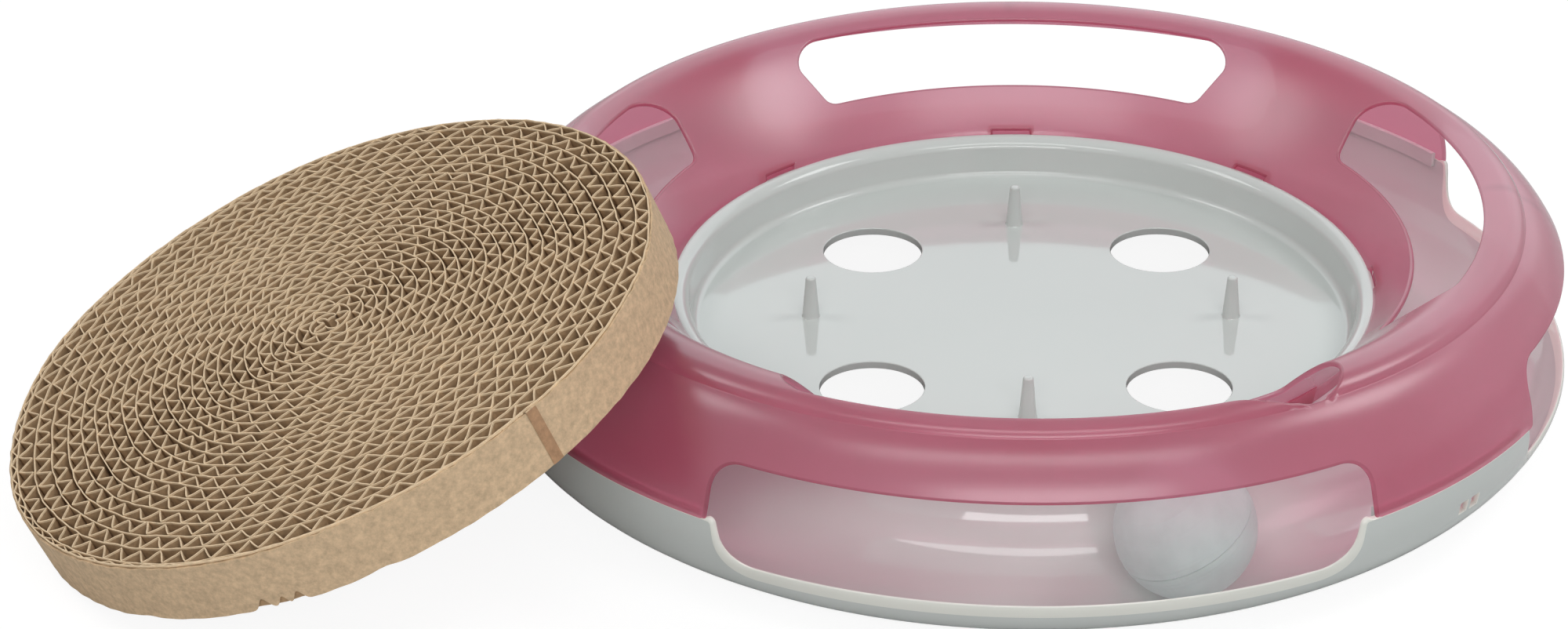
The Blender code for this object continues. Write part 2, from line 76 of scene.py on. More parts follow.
def colour_setting(name, description, red, green, blue):
    """A colour that a user can change, given as it looks on screen."""
    return bpy.props.FloatVectorProperty(
        name=name, description=description, subtype="COLOR", size=3, min=0, max=1,
        default=srgb(red, green, blue)[:3])


def length_setting(name, description, millimetres):
    """A length that a user can change, given in millimetres."""
    return bpy.props.FloatProperty(
        name=name, description=description, default=millimetres * MM, unit="LENGTH", precision=6)


def angle_setting(name, description, degrees):
    """An angle that a user can change, given in degrees."""
    return bpy.props.FloatProperty(
        name=name, description=description, default=math.radians(degrees), subtype="ANGLE")


def numbers_setting(name, description, numbers, unit="NONE", subtype="NONE"):
    """A row of numbers that a user can change."""
    return bpy.props.FloatVectorProperty(
        name=name, description=description, default=numbers, size=len(numbers),
        unit=unit, subtype=subtype)


def count_setting(name, description, count, least):
    """A whole number that a user can change."""
    return bpy.props.IntProperty(name=name, description=description, default=count, min=least)


# Places read from the frame

def node_points(name):
    """The corners of a CAD node, in metres, as rows of x, y and z."""
    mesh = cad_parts[name].data
    flat = np.empty(len(mesh.vertices) * 3)
    mesh.vertices.foreach_get("co", flat)
    return flat.reshape(-1, 3)


def ring_radius():
    """How far the base reaches out from the middle."""
    points = node_points("base_tray")
    return float(np.hypot(points[:, 0], points[:, 1]).max())


def ball_place():
    """The middle and the radius of the ball, from the box round both halves."""
    low_a, high_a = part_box("ball_upper_half")
    low_b, high_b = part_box("ball_lower_half")
    low = np.minimum(low_a, low_b)
    high = np.maximum(high_a, high_b)
    return (low + high) / 2, float((high - low).min() / 2)


def fitted_circle(flat):
    """The middle and the mean radius of points that lie near one circle."""
    kept = flat
    for attempt in range(4):
        system = np.column_stack([2 * kept, np.ones(len(kept))])
        answer = np.linalg.lstsq(system, (kept ** 2).sum(axis=1), rcond=None)[0]
        middle = answer[:2]
        away = np.hypot(*(kept - middle).T)
        typical = np.median(away)
        close = np.abs(away - typical) < 0.6 * MM
        if close.sum() > 20:
            kept = kept[close]
    return middle, float(np.median(away))


def axes_matrix(first, second, third, start):
    """The placing matrix with three axes and a starting point."""
    matrix = Matrix.Identity(4)
    for row in range(3):
        matrix[row] = (first[row], second[row], third[row], start[row])
    return matrix


def pad_place():
    """The pad's own axes as a matrix, with its radius and thickness.

    The matrix takes x downhill, z out of the pad's face, and starts at the middle of its underside.
    """
    points = node_points("pad_wrap")
    spread = points - points.mean(axis=0)
    normal = np.linalg.svd(spread, full_matrices=False)[2][2]
    if normal[2] < 0:
        normal = -normal
    downhill = -(np.array([0.0, 0.0, 1.0]) - normal * normal[2])
    downhill = downhill / np.linalg.norm(downhill)
    across = np.cross(normal, downhill)
    height = points @ normal
    flat = np.column_stack([points @ downhill, points @ across])
    middle, radius = fitted_circle(flat)
    start = downhill * middle[0] + across * middle[1] + normal * height.min()
    return axes_matrix(downhill, across, normal, start), radius, float(height.max() - height.min())


RING_RADIUS = ring_radius()
CREST_HEIGHT = float(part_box("cover_ring")[1][2])
GROUND = float(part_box("foot_right_rear")[0][2])
BALL_MIDDLE, BALL_RADIUS = ball_place()
PAD_MATRIX, PAD_RADIUS, PAD_THICKNESS = pad_place()


# Curves and section lines

def curve_between(start, start_heading, start_reach, end, end_heading, end_reach, step=0.25):
    """A smooth curve between two points, in millimetres, with its headings and reaches at both ends."""
    first = math.radians(start_heading)
    last = math.radians(end_heading)
    start = np.array(start, float)
    end = np.array(end, float)
    pull = start + start_reach * np.array([math.cos(first), math.sin(first)])
    push = end - end_reach * np.array([math.cos(last), math.sin(last)])
    count = max(8, int(np.linalg.norm(end - start) / step))
    t = np.linspace(0, 1, count + 1)[:, None]
    return (1 - t) ** 3 * start + 3 * t * (1 - t) ** 2 * pull + 3 * t ** 2 * (1 - t) * push + t ** 3 * end


def straight(start, end, step=0.25):
    """Points along a straight line, in millimetres."""
    count = max(1, int(math.dist(start, end) / step))
    t = np.linspace(0, 1, count + 1)[:, None]
    return (1 - t) * np.array(start, float) + t * np.array(end, float)


def joined(*pieces):
    """Section curves end to end, as one line without doubled points."""
    points = np.vstack(pieces)
    apart = np.hypot(*np.diff(points, axis=0).T)
    return points[np.concatenate([[True], apart > 1e-6])]


def softened(points, reach):
    """The same line with its bends eased over a short reach, in millimetres."""
    length = np.concatenate([[0], np.cumsum(np.hypot(*np.diff(points, axis=0).T))])
    even = np.arange(0, length[-1], 0.1)
    even = np.append(even, length[-1])
    line = np.column_stack([np.interp(even, length, points[:, i]) for i in range(2)])
    half = int(reach / 0.1)
    window = np.hanning(2 * half + 3)[1:-1]
    window = window / window.sum()
    before = 2 * line[0] - line[half:0:-1]
    after = 2 * line[-1] - line[-2:-half - 2:-1]
    padded = np.vstack([before, line, after])
    eased = np.column_stack([np.convolve(padded[:, i], window, "valid") for i in range(2)])
    eased[0] = line[0]
    eased[-1] = line[-1]
    return eased


class SectionLine:
    """A section line that is turned about the middle. A place is a length along it and an angle."""

    def __init__(self, points, side):
        self.points = np.array(points) * MM
        steps = np.hypot(*np.diff(self.points, axis=0).T)
        self.length = np.concatenate([[0], np.cumsum(steps)])
        self.side = side
        ahead = np.gradient(self.points, self.length, axis=0)
        self.ahead = ahead / np.hypot(*ahead.T)[:, None]

    @property
    def end(self):
        """The whole length of the line."""
        return float(self.length[-1])

    @property
    def top(self):
        """The length at which the line is highest."""
        return float(self.length[np.argmax(self.points[:, 1])])

    def radius(self, along):
        """The distance from the middle at a length along the line."""
        return np.interp(along, self.length, self.points[:, 0])

    def place_of(self, radius):
        """The length at which the line reaches out to a radius, for a line that keeps going out."""
        return float(np.interp(radius, self.points[:, 0], self.length))

    def along_at(self, height, after=0.0, before=1.0):
        """The length at which the line first passes a height, between two lengths."""
        inside = (self.length >= after) & (self.length <= before)
        index = np.flatnonzero(inside)
        level = self.points[index, 1] - height
        change = np.flatnonzero(level[:-1] * level[1:] <= 0)
        if len(change) == 0:
            raise ValueError("the section line doesn't pass that height")
        i = index[change[0]]
        part = abs(level[change[0]]) / max(1e-12, abs(level[change[0]] - level[change[0] + 1]))
        return float(self.length[i] + part * (self.length[i + 1] - self.length[i]))

    def frame_at(self, along, angle):
        """The point, the outward normal, the way along the line and the way round, as rows."""
        radius = self.radius(along)
        height = np.interp(along, self.length, self.points[:, 1])
        out = np.interp(along, self.length, self.ahead[:, 0])
        up = np.interp(along, self.length, self.ahead[:, 1])
        size = np.hypot(out, up)
        out, up = out / size, up / size
        c, s = np.cos(angle), np.sin(angle)
        point = np.column_stack([radius * c, radius * s, height])
        ahead = np.column_stack([out * c, out * s, up])
        normal = self.side * np.column_stack([-up * c, -up * s, out])
        around = np.column_stack([-s, c, np.zeros_like(s)])
        return point, normal, ahead, around


def rounded_path(corners, radii, step, closed):
    """A path through corners, each rounded to its radius, with points about a step apart."""
    corners = [np.array(c, float) for c in corners]
    count = len(corners)
    path = []
    for i in range(count):
        here = corners[i]
        inner = closed or 0 < i < count - 1
        if not inner or radii[i] <= 0:
            path.append(here[None, :])
            continue
        back = corners[i - 1] - here
        ahead = corners[(i + 1) % count] - here
        back = back / np.linalg.norm(back)
        ahead = ahead / np.linalg.norm(ahead)
        turn = math.pi - math.acos(float(np.clip(back @ ahead, -1, 1)))
        cut = radii[i] * math.tan(turn / 2)
        middle = here + (back + ahead) / np.linalg.norm(back + ahead) * radii[i] / math.cos(turn / 2)
        first = here + back * cut - middle
        last = here + ahead * cut - middle
        arcs = max(3, int(radii[i] * turn / step), int(turn / 0.2))
        share = np.linspace(0, 1, arcs + 1)[:, None]
        arc = np.sin((1 - share) * turn) * first + np.sin(share * turn) * last
        path.append(middle + arc / math.sin(turn))
    points = np.vstack(path)
    if closed:
        points = np.vstack([points, points[:1]])
    filled = []
    for a, b in zip(points[:-1], points[1:]):
        pieces = max(1, int(round(np.linalg.norm(b - a) / step)))
        share = np.linspace(0, 1, pieces + 1)[:-1, None]
        filled.append(a + share * (b - a))
    if not closed:
        filled.append(points[-1:])
    return np.vstack(filled)


def inside_outline(points, outline):
    """Which points lie inside a closed outline."""
    x, y = points[:, 0], points[:, 1]
    inside = np.zeros(len(points), bool)
    start = outline
    end = np.roll(outline, -1, axis=0)
    for (ax, ay), (bx, by) in zip(start, end):
        if ay == by:
            continue
        crosses = ((ay > y) != (by > y)) & (x < (bx - ax) * (y - ay) / (by - ay) + ax)
        inside ^= crosses
    return inside


def inside_sheet(points, outline, holes):
    """Which points lie inside an outline and outside its holes."""
    inside = inside_outline(points, outline)
    for hole in holes:
        inside &= ~inside_outline(points, hole)
    return inside


def filled_triangles(outline, holes, inner_points, margin):
    """A triangulated plate between an outline and its holes. The loops' points come first, in order."""
    loops = [outline] + list(holes)
    edge = np.vstack(loops)
    candidates = inner_points[inside_sheet(inner_points, outline, holes)]
    clear = np.ones(len(candidates), bool)
    for first in range(0, len(edge), 200):
        apart = candidates[:, None] - edge[None, first:first + 200]
        clear &= np.hypot(apart[..., 0], apart[..., 1]).min(axis=1) > margin
    points = np.vstack([edge, candidates[clear]])
    edges = []
    start = 0
    for loop in loops:
        count = len(loop)
        edges += [(start + i, start + (i + 1) % count) for i in range(count)]
        start += count
    found = delaunay_2d_cdt([Vector((p[0], p[1])) for p in points], edges, [], 0, 1e-9)
    if len(found[0]) != len(points):
        raise ValueError("a sheet's outline crosses itself")
    given = np.array([old[0] for old in found[3]])
    triangles = given[np.array([list(face) for face in found[2]])]
    return points, triangles[inside_sheet(points[triangles].mean(axis=1), outline, holes)]


class MeshParts:
    """Collects points, their normals and faces for one mesh."""

    def __init__(self):
        self.points = []
        self.normals = []
        self.faces = []
        self.materials = []
        self.count = 0

    def add(self, points, normals, faces, material=0):
        """Adds a patch. Its faces count from its own first point."""
        self.points.append(np.asarray(points))
        self.normals.append(np.asarray(normals))
        for face in faces:
            self.faces.append(tuple(int(i) + self.count for i in face))
            self.materials.append(material)
        self.count += len(points)

    def mesh(self, name, weld=2e-7):
        """The collected mesh, welded where patches meet, with the normals that were given."""
        points = np.vstack(self.points)
        normals = np.vstack(self.normals)
        size = np.linalg.norm(normals, axis=1)
        size[size < 1e-9] = 1
        normals = normals / size[:, None]
        place = np.arange(len(points))
        if weld:
            key = np.column_stack([np.round(points / (weld * 10)), np.round(normals * 6)])
            key = key.astype(np.int64)
            first, place = np.unique(key, axis=0, return_index=True, return_inverse=True)[1:]
            place = place.reshape(-1)
            points = points[first]
            normals = normals[first]
        faces = []
        materials = []
        for face, material in zip(self.faces, self.materials):
            corners = list(dict.fromkeys(int(place[i]) for i in face))
            if len(corners) > 2:
                faces.append(corners)
                materials.append(material)
        three = np.array([face[:3] for face in faces])
        corner = points[three]
        facing = np.cross(corner[:, 1] - corner[:, 0], corner[:, 2] - corner[:, 0])
        wrong = (facing * normals[three].sum(axis=1)).sum(axis=1) < 0
        faces = [face[::-1] if turned else face for face, turned in zip(faces, wrong)]
        mesh = bpy.data.meshes.new(name)
        mesh.from_pydata(points.tolist(), [], faces)
        mesh.polygons.foreach_set("material_index", materials)
        mesh.polygons.foreach_set("use_smooth", [True] * len(mesh.polygons))
        mesh.update()
        mesh.normals_split_custom_set_from_vertices(normals.tolist())
        return mesh


def outward_directions(loop, ahead, around, scale_round):
    """At each point of a loop, the way off the sheet, for a loop with its sheet on the left."""
    following = np.roll(loop, -1, axis=0)
    previous = np.roll(loop, 1, axis=0)
    step = following - previous
    along, turn = step[:, 0], step[:, 1] * scale_round
    size = np.hypot(along, turn)
    return (turn / size)[:, None] * ahead + (-along / size)[:, None] * around


RIM_STEPS = 8
# Material slots of the faces and of the rounded edges. The edges' slot holds painted shade on the cover
# and painted highlight on the base.
FACE, EDGE = 0, 1


def add_rim(parts, line, loop, wall, advance, tip=0.5, open_loop=False):
    """Rounds the edge of a sheet along a loop of places, from its outer face to its inner face.

    advance gives how far the edge stands out at each place, and tip how deep in the wall it does so most.
    """
    point, normal, ahead, around = line.frame_at(loop[:, 0], loop[:, 1])
    off = outward_directions(loop, ahead, around, line.radius(loop[:, 0]))
    if open_loop:
        for end, beside in ((0, 1), (-1, -2)):
            off[end] = np.sign((off[beside] * ahead[end]).sum()) * ahead[end]
    reach = advance(loop)[:, None]
    rows = []
    shades = []
    for k in range(RIM_STEPS + 1):
        turn = math.pi * k / RIM_STEPS
        share = math.sin(turn)
        if turn <= math.pi / 2:
            down = tip * (1 - math.cos(turn))
        else:
            down = 1 - (1 - tip) * (1 + math.cos(turn))
        rows.append(point + off * reach * share - normal * wall * down)
        bend = normal * math.cos(turn) / (0.5 * wall) + off * share / np.maximum(reach, 1e-5)
        shades.append(bend / np.linalg.norm(bend, axis=1)[:, None])
    count = len(loop)
    last = count - 1 if open_loop else count
    faces = []
    for k in range(RIM_STEPS):
        for i in range(last):
            j = (i + 1) % count
            faces.append((k * count + i, (k + 1) * count + i, (k + 1) * count + j, k * count + j))
    parts.add(np.vstack(rows), np.vstack(shades), faces, EDGE)


def places_from_metric(line, path):
    """Turns (length, distance round) into (length, angle)."""
    return np.column_stack([path[:, 0], path[:, 1] / line.radius(path[:, 0])])


def sheet_on_left(loop):
    """A window's path in the order that keeps the sheet on its left."""
    following = np.roll(loop, -1, axis=0)
    area = (loop[:, 0] * following[:, 1] - following[:, 0] * loop[:, 1]).sum()
    return loop[::-1] if area > 0 else loop


# A quarter of the ring starts here, in the middle of a post
FIRST_ANGLE = math.radians(-38)
LAST_ANGLE = FIRST_ANGLE + math.pi / 2


def turned_sheet(parts, line, wall, windows, notch, rim, notch_rim, rows, columns):
    """A quarter of a turned sheet with windows, and a notch in its last edge.

    windows are closed paths and notch an open one, each of (length, distance round) places.
    notch_rim is the notch's own advance and tip.
    """
    reference = line.radius(line.end * 0.5)
    angles = np.linspace(FIRST_ANGLE, LAST_ANGLE, columns + 1)
    near_edge = np.column_stack([np.full(columns + 1, rows[0]), angles[::-1]])
    near_side = np.column_stack([rows, np.full(len(rows), FIRST_ANGLE)])
    far_edge = places_from_metric(line, notch)[::-1]
    far_edge[0] = (rows[-1], FIRST_ANGLE)
    far_edge[-1] = (rows[-1], LAST_ANGLE)
    far_side = np.column_stack([rows[::-1], np.full(len(rows), LAST_ANGLE)])
    outline = np.vstack([near_edge, near_side[1:], far_edge[1:], far_side[1:-1]])
    holes = [places_from_metric(line, window) for window in windows]
    scale = np.array([1.0, reference])
    grid_length, grid_angle = np.meshgrid(rows[1:-1], angles[1:-1], indexing="ij")
    inner = np.column_stack([grid_length.ravel(), grid_angle.ravel()])
    spacing = (LAST_ANGLE - FIRST_ANGLE) * reference / columns
    flat_holes = [hole * scale for hole in holes]
    points, triangles = filled_triangles(outline * scale, flat_holes, inner * scale, 0.5 * spacing)
    places = points / scale
    point, normal = line.frame_at(places[:, 0], places[:, 1])[:2]
    parts.add(point, normal, triangles)
    parts.add(point - normal * wall, -normal, triangles)
    for hole in holes:
        add_rim(parts, line, sheet_on_left(hole), wall, rim)
    add_rim(parts, line, near_edge, wall, rim, open_loop=True)
    add_rim(parts, line, far_edge, wall, *notch_rim, open_loop=True)


def put_round(quarters):
    """Turns four quarters' patches into their places, which makes the whole ring."""
    whole = MeshParts()
    for number, parts in enumerate(quarters):
        c, s = round(math.cos(number * math.pi / 2)), round(math.sin(number * math.pi / 2))
        turn = np.array([[c, s, 0], [-s, c, 0], [0, 0, 1]], float)
        start = whole.count
        whole.points.append(np.vstack(parts.points) @ turn)
        whole.normals.append(np.vstack(parts.normals) @ turn)
        whole.faces += [tuple(i + start for i in face) for face in parts.faces]
        whole.materials += parts.materials
        whole.count += parts.count
    return whole


def turned_point(place, c, s):
    """One point or direction of a section, at every angle of the cosines and sines given."""
    return np.column_stack([place[0] * c, place[0] * s, np.full(len(c), place[1])])


def add_block(parts, section, first, last, steps):
    """A short arc of solid with a flat-sided section of (radius, height), between two angles."""
    angles = np.linspace(first, last, steps + 1)
    c, s = np.cos(angles), np.sin(angles)
    count = steps + 1
    for start, end in zip(section, np.roll(section, -1, axis=0)):
        out = np.array([end[1] - start[1], start[0] - end[0]]) / np.linalg.norm(end - start)
        rows = np.vstack([turned_point(start, c, s), turned_point(end, c, s)])
        faces = [(i, i + 1, count + i + 1, count + i) for i in range(steps)]
        parts.add(rows, np.tile(turned_point(out, c, s), (2, 1)), faces)
    for angle, side in ((first, -1), (last, 1)):
        c, s = math.cos(angle), math.sin(angle)
        cap = np.column_stack([section[:, 0] * c, section[:, 0] * s, section[:, 1]])
        parts.add(cap, np.tile(side * np.array([-s, c, 0]), (len(cap), 1)), [range(len(cap))])


def add_turned(parts, section, steps, middle=(0, 0)):
    """Turns a section of (radius, height) about an upright axis, with smooth normals along it."""
    run = np.vstack([section[1:], section[-1:]]) - np.vstack([section[:1], section[:-1]])
    size = np.hypot(*run.T)
    size[size < 1e-12] = 1
    out = np.column_stack([run[:, 1], -run[:, 0]]) / size[:, None]
    angles = np.arange(steps) * 2 * math.pi / steps
    c, s = np.cos(angles), np.sin(angles)
    points = np.vstack([turned_point(place, c, s) for place in section]) + (*middle, 0)
    normals = np.vstack([turned_point(way, c, s) for way in out])
    faces = []
    for above in range(0, (len(section) - 1) * steps, steps):
        for i in range(steps):
            j = (i + 1) % steps
            faces.append((above + i, above + j, above + steps + j, above + steps + i))
    parts.add(points, normals, faces)


def new_piece(name, mesh, materials, body, replaced, matrix=None):
    """Makes one piece of the model, riding on its CAD body. A matrix puts its points in place first."""
    if matrix is not None:
        normals = np.array([tuple(n.vector) for n in mesh.corner_normals])
        turn = np.array(matrix.to_3x3())
        mesh.transform(matrix)
        mesh.normals_split_custom_set((normals @ turn.T).tolist())
    piece = bpy.data.objects.new(name, mesh)
    bpy.context.scene.collection.objects.link(piece)
    for material in materials:
        mesh.materials.append(material)
    bpy.context.view_layer.update()
    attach(piece, body)
    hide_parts(*replaced)


# Section lines of the ring, as (radius, height) in millimetres

SKIRT_RADIUS = 117.3
SKIRT_FOOT = 9.0
SKIRT_TOP = 13.6
SHOULDER_RADIUS = 151.0
SHOULDER_DROP = 1.0
CREST_RADIUS = 158.7
CREASE_RADIUS = 165.2
CREASE_DROP = 3.7
JOINT_HEIGHT = 10.9
GUTTER_MIDDLE = 151.4
GUTTER_DEPTH = 32.3
GUTTER_BRIM = 8.0
LIP_HEIGHT = 10.6
TRAY_EDGE = 108.6


def cover_line():
    """The cover's outer line, from its inner skirt over the crest to the joint with the base."""
    height = CREST_HEIGHT / MM
    skirt_top = (SKIRT_RADIUS, SKIRT_TOP)
    shoulder = (SHOULDER_RADIUS, height - SHOULDER_DROP)
    crest = (CREST_RADIUS, height)
    crease = (CREASE_RADIUS, height - CREASE_DROP)
    tongue = straight((SKIRT_RADIUS, SKIRT_FOOT), skirt_top)
    flank = curve_between(skirt_top, 59, 8, shoulder, 20, 9)
    rise = curve_between(shoulder, 20, 2.6, crest, 0, 2.6)
    fall = curve_between(crest, 0, 3, crease, -78, 1.8)
    side = curve_between(crease, -20, 9, (RING_RADIUS / MM, JOINT_HEIGHT), -84, 17)
    inner = softened(joined(tongue, flank), 1.0)
    outer = softened(joined(rise, fall, side), 0.25)
    return SectionLine(joined(inner, outer), 1)


def gutter_line():
    """The base's outer line under the track, from inside the rim round to the joint."""
    turn = np.linspace(math.pi, 2 * math.pi, 220)
    rim = RING_RADIUS / MM
    reach = rim - GUTTER_MIDDLE
    out = GUTTER_MIDDLE + reach * np.cos(turn)
    bowl = np.column_stack([out, GUTTER_BRIM + GUTTER_DEPTH * np.sin(turn)])
    return SectionLine(joined(bowl, straight((rim, GUTTER_BRIM), (rim, LIP_HEIGHT))), -1)


def sheet_rows(line, step, close_places=(), close_step=0.13 * MM, reach=0.78 * MM):
    """Lengths for the rows of a sheet, closer together round sharp bends."""
    rows = list(np.linspace(0, line.end, int(line.end / step) + 1))
    for place in close_places:
        rows = [r for r in rows if abs(r - place) > reach]
        rows += list(np.arange(place - reach, place + reach + 1e-6, close_step))
    rows = np.array(sorted(rows))
    rows[0] = 0.0
    rows[-1] = line.end
    return rows


class CoverSettings(bpy.types.PropertyGroup):
    """Sizes and colour of the pink cover."""

    colour: colour_setting("Colour", "Colour of the cover's plastic", 195, 97, 121)
    wall: length_setting("Wall", "Thickness of the cover", 1.8)
    window_sill: length_setting("Window sill", "Height of the inner windows' lower edge", 28.2)
    window_head: length_setting("Window head", "How far below the crest the inner windows end", 0.9)
    sill_half_angle: angle_setting("Sill half angle", "Half of the angle of an inner window's sill", 30.2)
    head_half_angle: angle_setting("Head half angle", "Half of the angle of an inner window's head", 33.2)
    sill_corner: length_setting("Sill corner", "Corner radius at the sill", 8.5)
    head_corner: length_setting("Head corner", "Corner radius at the head", 10)
    front_head: length_setting("Front window head", "How far out the front window reaches", 158.2)
    front_end: length_setting("Front window end", "How far out the front window's end reaches", 165.1)
    front_end_angle: angle_setting("Front end angle", "Where the front window ends, from the front", 37.7)
    rear_head: length_setting("Rear window head", "How far out the rear inner window reaches", 148.4)
    outer_heads: numbers_setting(
        "Outer window heads", "Heights of the right, rear, left and front outer windows",
        [height * MM for height in (30.4, 32.6, 30.4, 29.9)], "LENGTH")
    outer_low_angles: numbers_setting(
        "Outer window starts", "Where the right, rear, left and front outer windows start",
        [math.radians(angle) for angle in (-31.4, -33.0, -33.0, -33.0)], "ROTATION")
    outer_high_angles: numbers_setting(
        "Outer window ends", "Where the right, rear, left and front outer windows end",
        [math.radians(angle) for angle in (32.5, 33.0, 33.0, 33.6)], "ROTATION")
    outer_corner: length_setting("Outer corner", "Upper corner radius of the outer windows", 13)
    slot_width: length_setting("Slot width", "Width of the small slots above the rim", 13.4)
    columns: count_setting("Columns", "Columns of points in a quarter of the cover", 104, 24)


# Quarters are numbered from the right, anticlockwise seen from above
REAR, FRONT = 1, 3
POST_RIM = 0.15 * MM
LUG_ANGLES = (0.0, math.pi / 4)
LUG_MARGIN = 1.5 * MM
LUG_RADIUS = 118.7 * MM
LUG_SECTION = np.array([(118.9, 9.2), (119.8, 9.2), (121.2, 15.6), (120.2, 16.0)]) * MM
CATCH_SECTION = np.array([
    (177.0, -4.6), (177.8, -4.6), (179.6, 2.0), (181.0, 12.0), (180.0, 12.0), (178.8, 2.0)]) * MM


CATCH_ANGLES = (45.0, 48.8)
# The rear window's head is wider and less rounded than the others'
REAR_EXTRA = 3.2 * MM
REAR_CORNER = 8 * MM
# The front window's left end, and where its right end bends up to the crest, in degrees
FRONT_START = 31.4
BEND_OUT = 9.0
BEND_IN = 15.5


def inner_window(line, sizes, quarter):
    """The corners of one quarter's inner window, and the radius of each."""
    edge = sizes.wall / 2
    sill = line.along_at(sizes.window_sill, 0.0, line.top) - edge
    sill_radius = line.radius(sill)
    sill_half = sizes.sill_half_angle * sill_radius + edge
    small, large = sizes.sill_corner, sizes.head_corner
    if quarter == FRONT:
        head = line.place_of(sizes.front_head + edge)
        out = line.place_of(sizes.front_end + edge / 3)
        turn = sizes.front_end_angle
        end_half = turn * sizes.front_head + edge
        corners = [
            (sill, -sill_half),
            (sill, (turn - 0.02) * sill_radius + edge),
            (out, end_half + 0.1 * edge),
            (out, (turn - math.radians(BEND_OUT)) * sizes.front_end),
            (head, (turn - math.radians(BEND_IN)) * sizes.front_head),
            (head, -math.radians(FRONT_START) * sizes.front_head - edge),
        ]
        return corners, [small, small * 0.7, 9.5 * MM, 22 * MM, 22 * MM, 9 * MM]
    head = line.along_at(CREST_HEIGHT - sizes.window_head, 0.0, line.top) + edge
    if quarter == REAR:
        head = line.place_of(sizes.rear_head) + edge
    head_half = sizes.head_half_angle * line.radius(head) + edge
    if quarter == REAR:
        head_half += REAR_EXTRA
        large = REAR_CORNER
    corners = [(sill, -sill_half), (sill, sill_half), (head, head_half), (head, -head_half)]
    return corners, [small, small, large, large]


def cover_windows(line, sizes, quarter):
    """The inner window and the two skirt slots of one quarter, as closed paths."""
    windows = [rounded_path(*inner_window(line, sizes, quarter), 1.4 * MM, True)]
    edge = sizes.wall / 2
    low = line.along_at(10.8 * MM, 0.0, line.top)
    high = line.along_at(14.9 * MM, 0.0, line.top) + edge
    half = sizes.slot_width / 2 + edge
    for angle in LUG_ANGLES:
        middle = angle * line.radius((low + high) / 2)
        box = [(low, middle - half), (low, middle + half), (high, middle + half), (high, middle - half)]
        windows.append(rounded_path(box, [0.6 * MM] * 4, 0.8 * MM, True))
    return windows


def notch_path(line, head, low_angle, high_angle, head_corner):
    """The open path of a notch in the last edge of a quarter, from its far side to its near side."""
    foot_radius = line.radius(line.end)
    head_radius = line.radius(head)
    foot_corner = 1.2 * MM
    corners = [
        (line.end, LAST_ANGLE * foot_radius),
        (line.end, high_angle * foot_radius),
        (head, high_angle * head_radius),
        (head, low_angle * head_radius),
        (line.end, low_angle * foot_radius),
        (line.end, FIRST_ANGLE * foot_radius),
    ]
    radii = [0, foot_corner, head_corner, head_corner, foot_corner, 0]
    return rounded_path(corners, radii, 1.4 * MM, False)


class CATTOY_OT_cover(bpy.types.Operator):
    """Makes the pink cover with its windows and slots"""

    bl_idname = "cattoy.make_cover"
    bl_label = "Make cover"

    def execute(self, context):
        sizes = context.scene.cattoy_cover
        line = cover_line()
        crease = line.along_at(CREST_HEIGHT - CREASE_DROP * MM, line.top)
        rows = sheet_rows(line, 2.4 * MM, (crease,))
        edge = sizes.wall / 2

        def rim(loop):
            return np.where(loop[:, 0] > line.end - 0.4 * MM, POST_RIM, edge)

        quarters = []
        for quarter in range(4):
            parts = MeshParts()
            low = sizes.outer_low_angles[quarter] - edge / RING_RADIUS
            high = sizes.outer_high_angles[quarter] + edge / RING_RADIUS
            head = line.along_at(sizes.outer_heads[quarter], line.top) - edge
            notch = notch_path(line, head, low, high, sizes.outer_corner)
            windows = cover_windows(line, sizes, quarter)
            turned_sheet(parts, line, sizes.wall, windows, notch, rim, (rim, 0.5), rows, sizes.columns)
            half = (sizes.slot_width / 2 + LUG_MARGIN) / LUG_RADIUS
            for angle in LUG_ANGLES:
                add_block(parts, LUG_SECTION, angle - half, angle + half, 8)
            if quarter == FRONT:
                add_block(parts, CATCH_SECTION, *np.radians(CATCH_ANGLES), 8)
            quarters.append(parts)
        mesh = put_round(quarters).mesh("cover")
        face = pink_plastic("pink_plastic", sizes.colour)
        # The rounded rims get a darker, deeper pink than the faces: painted shade.
        edges = pink_plastic("pink_edge_painted_shade", shade(sizes.colour, 0.76, 0.48, 0.58))
        new_piece("cover", mesh, [face, edges], "ring", ["cover_ring"])
        return {"FINISHED"}


class BaseSettings(bpy.types.PropertyGroup):
    """Sizes and colour of the off-white base."""

    colour: colour_setting("Colour", "Colour of the base's plastic", 202, 208, 205)
    wall: length_setting("Wall", "Thickness of the gutter", 2.0)
    floor_thickness: length_setting("Floor thickness", "Thickness of the tray floor", 2.6)
    scoop_bottom: length_setting("Scoop bottom", "Height of the outer wall's scoops at their lowest", -8.1)
    scoop_half_angle: angle_setting("Scoop half angle", "Half of the angle of a scoop", 32.4)
    scoop_corner: length_setting("Scoop corner", "Lower corner radius of the scoops", 16)
    hole_radius: length_setting("Hole radius", "Radius of the holes in the tray", 17.25)
    pin_circle: length_setting("Pin circle", "Distance of the pins and holes from the middle", 71)
    pin_height: length_setting("Pin height", "Height of the pins", 14.7)
    columns: count_setting("Columns", "Columns of points in a quarter of the gutter", 104, 24)


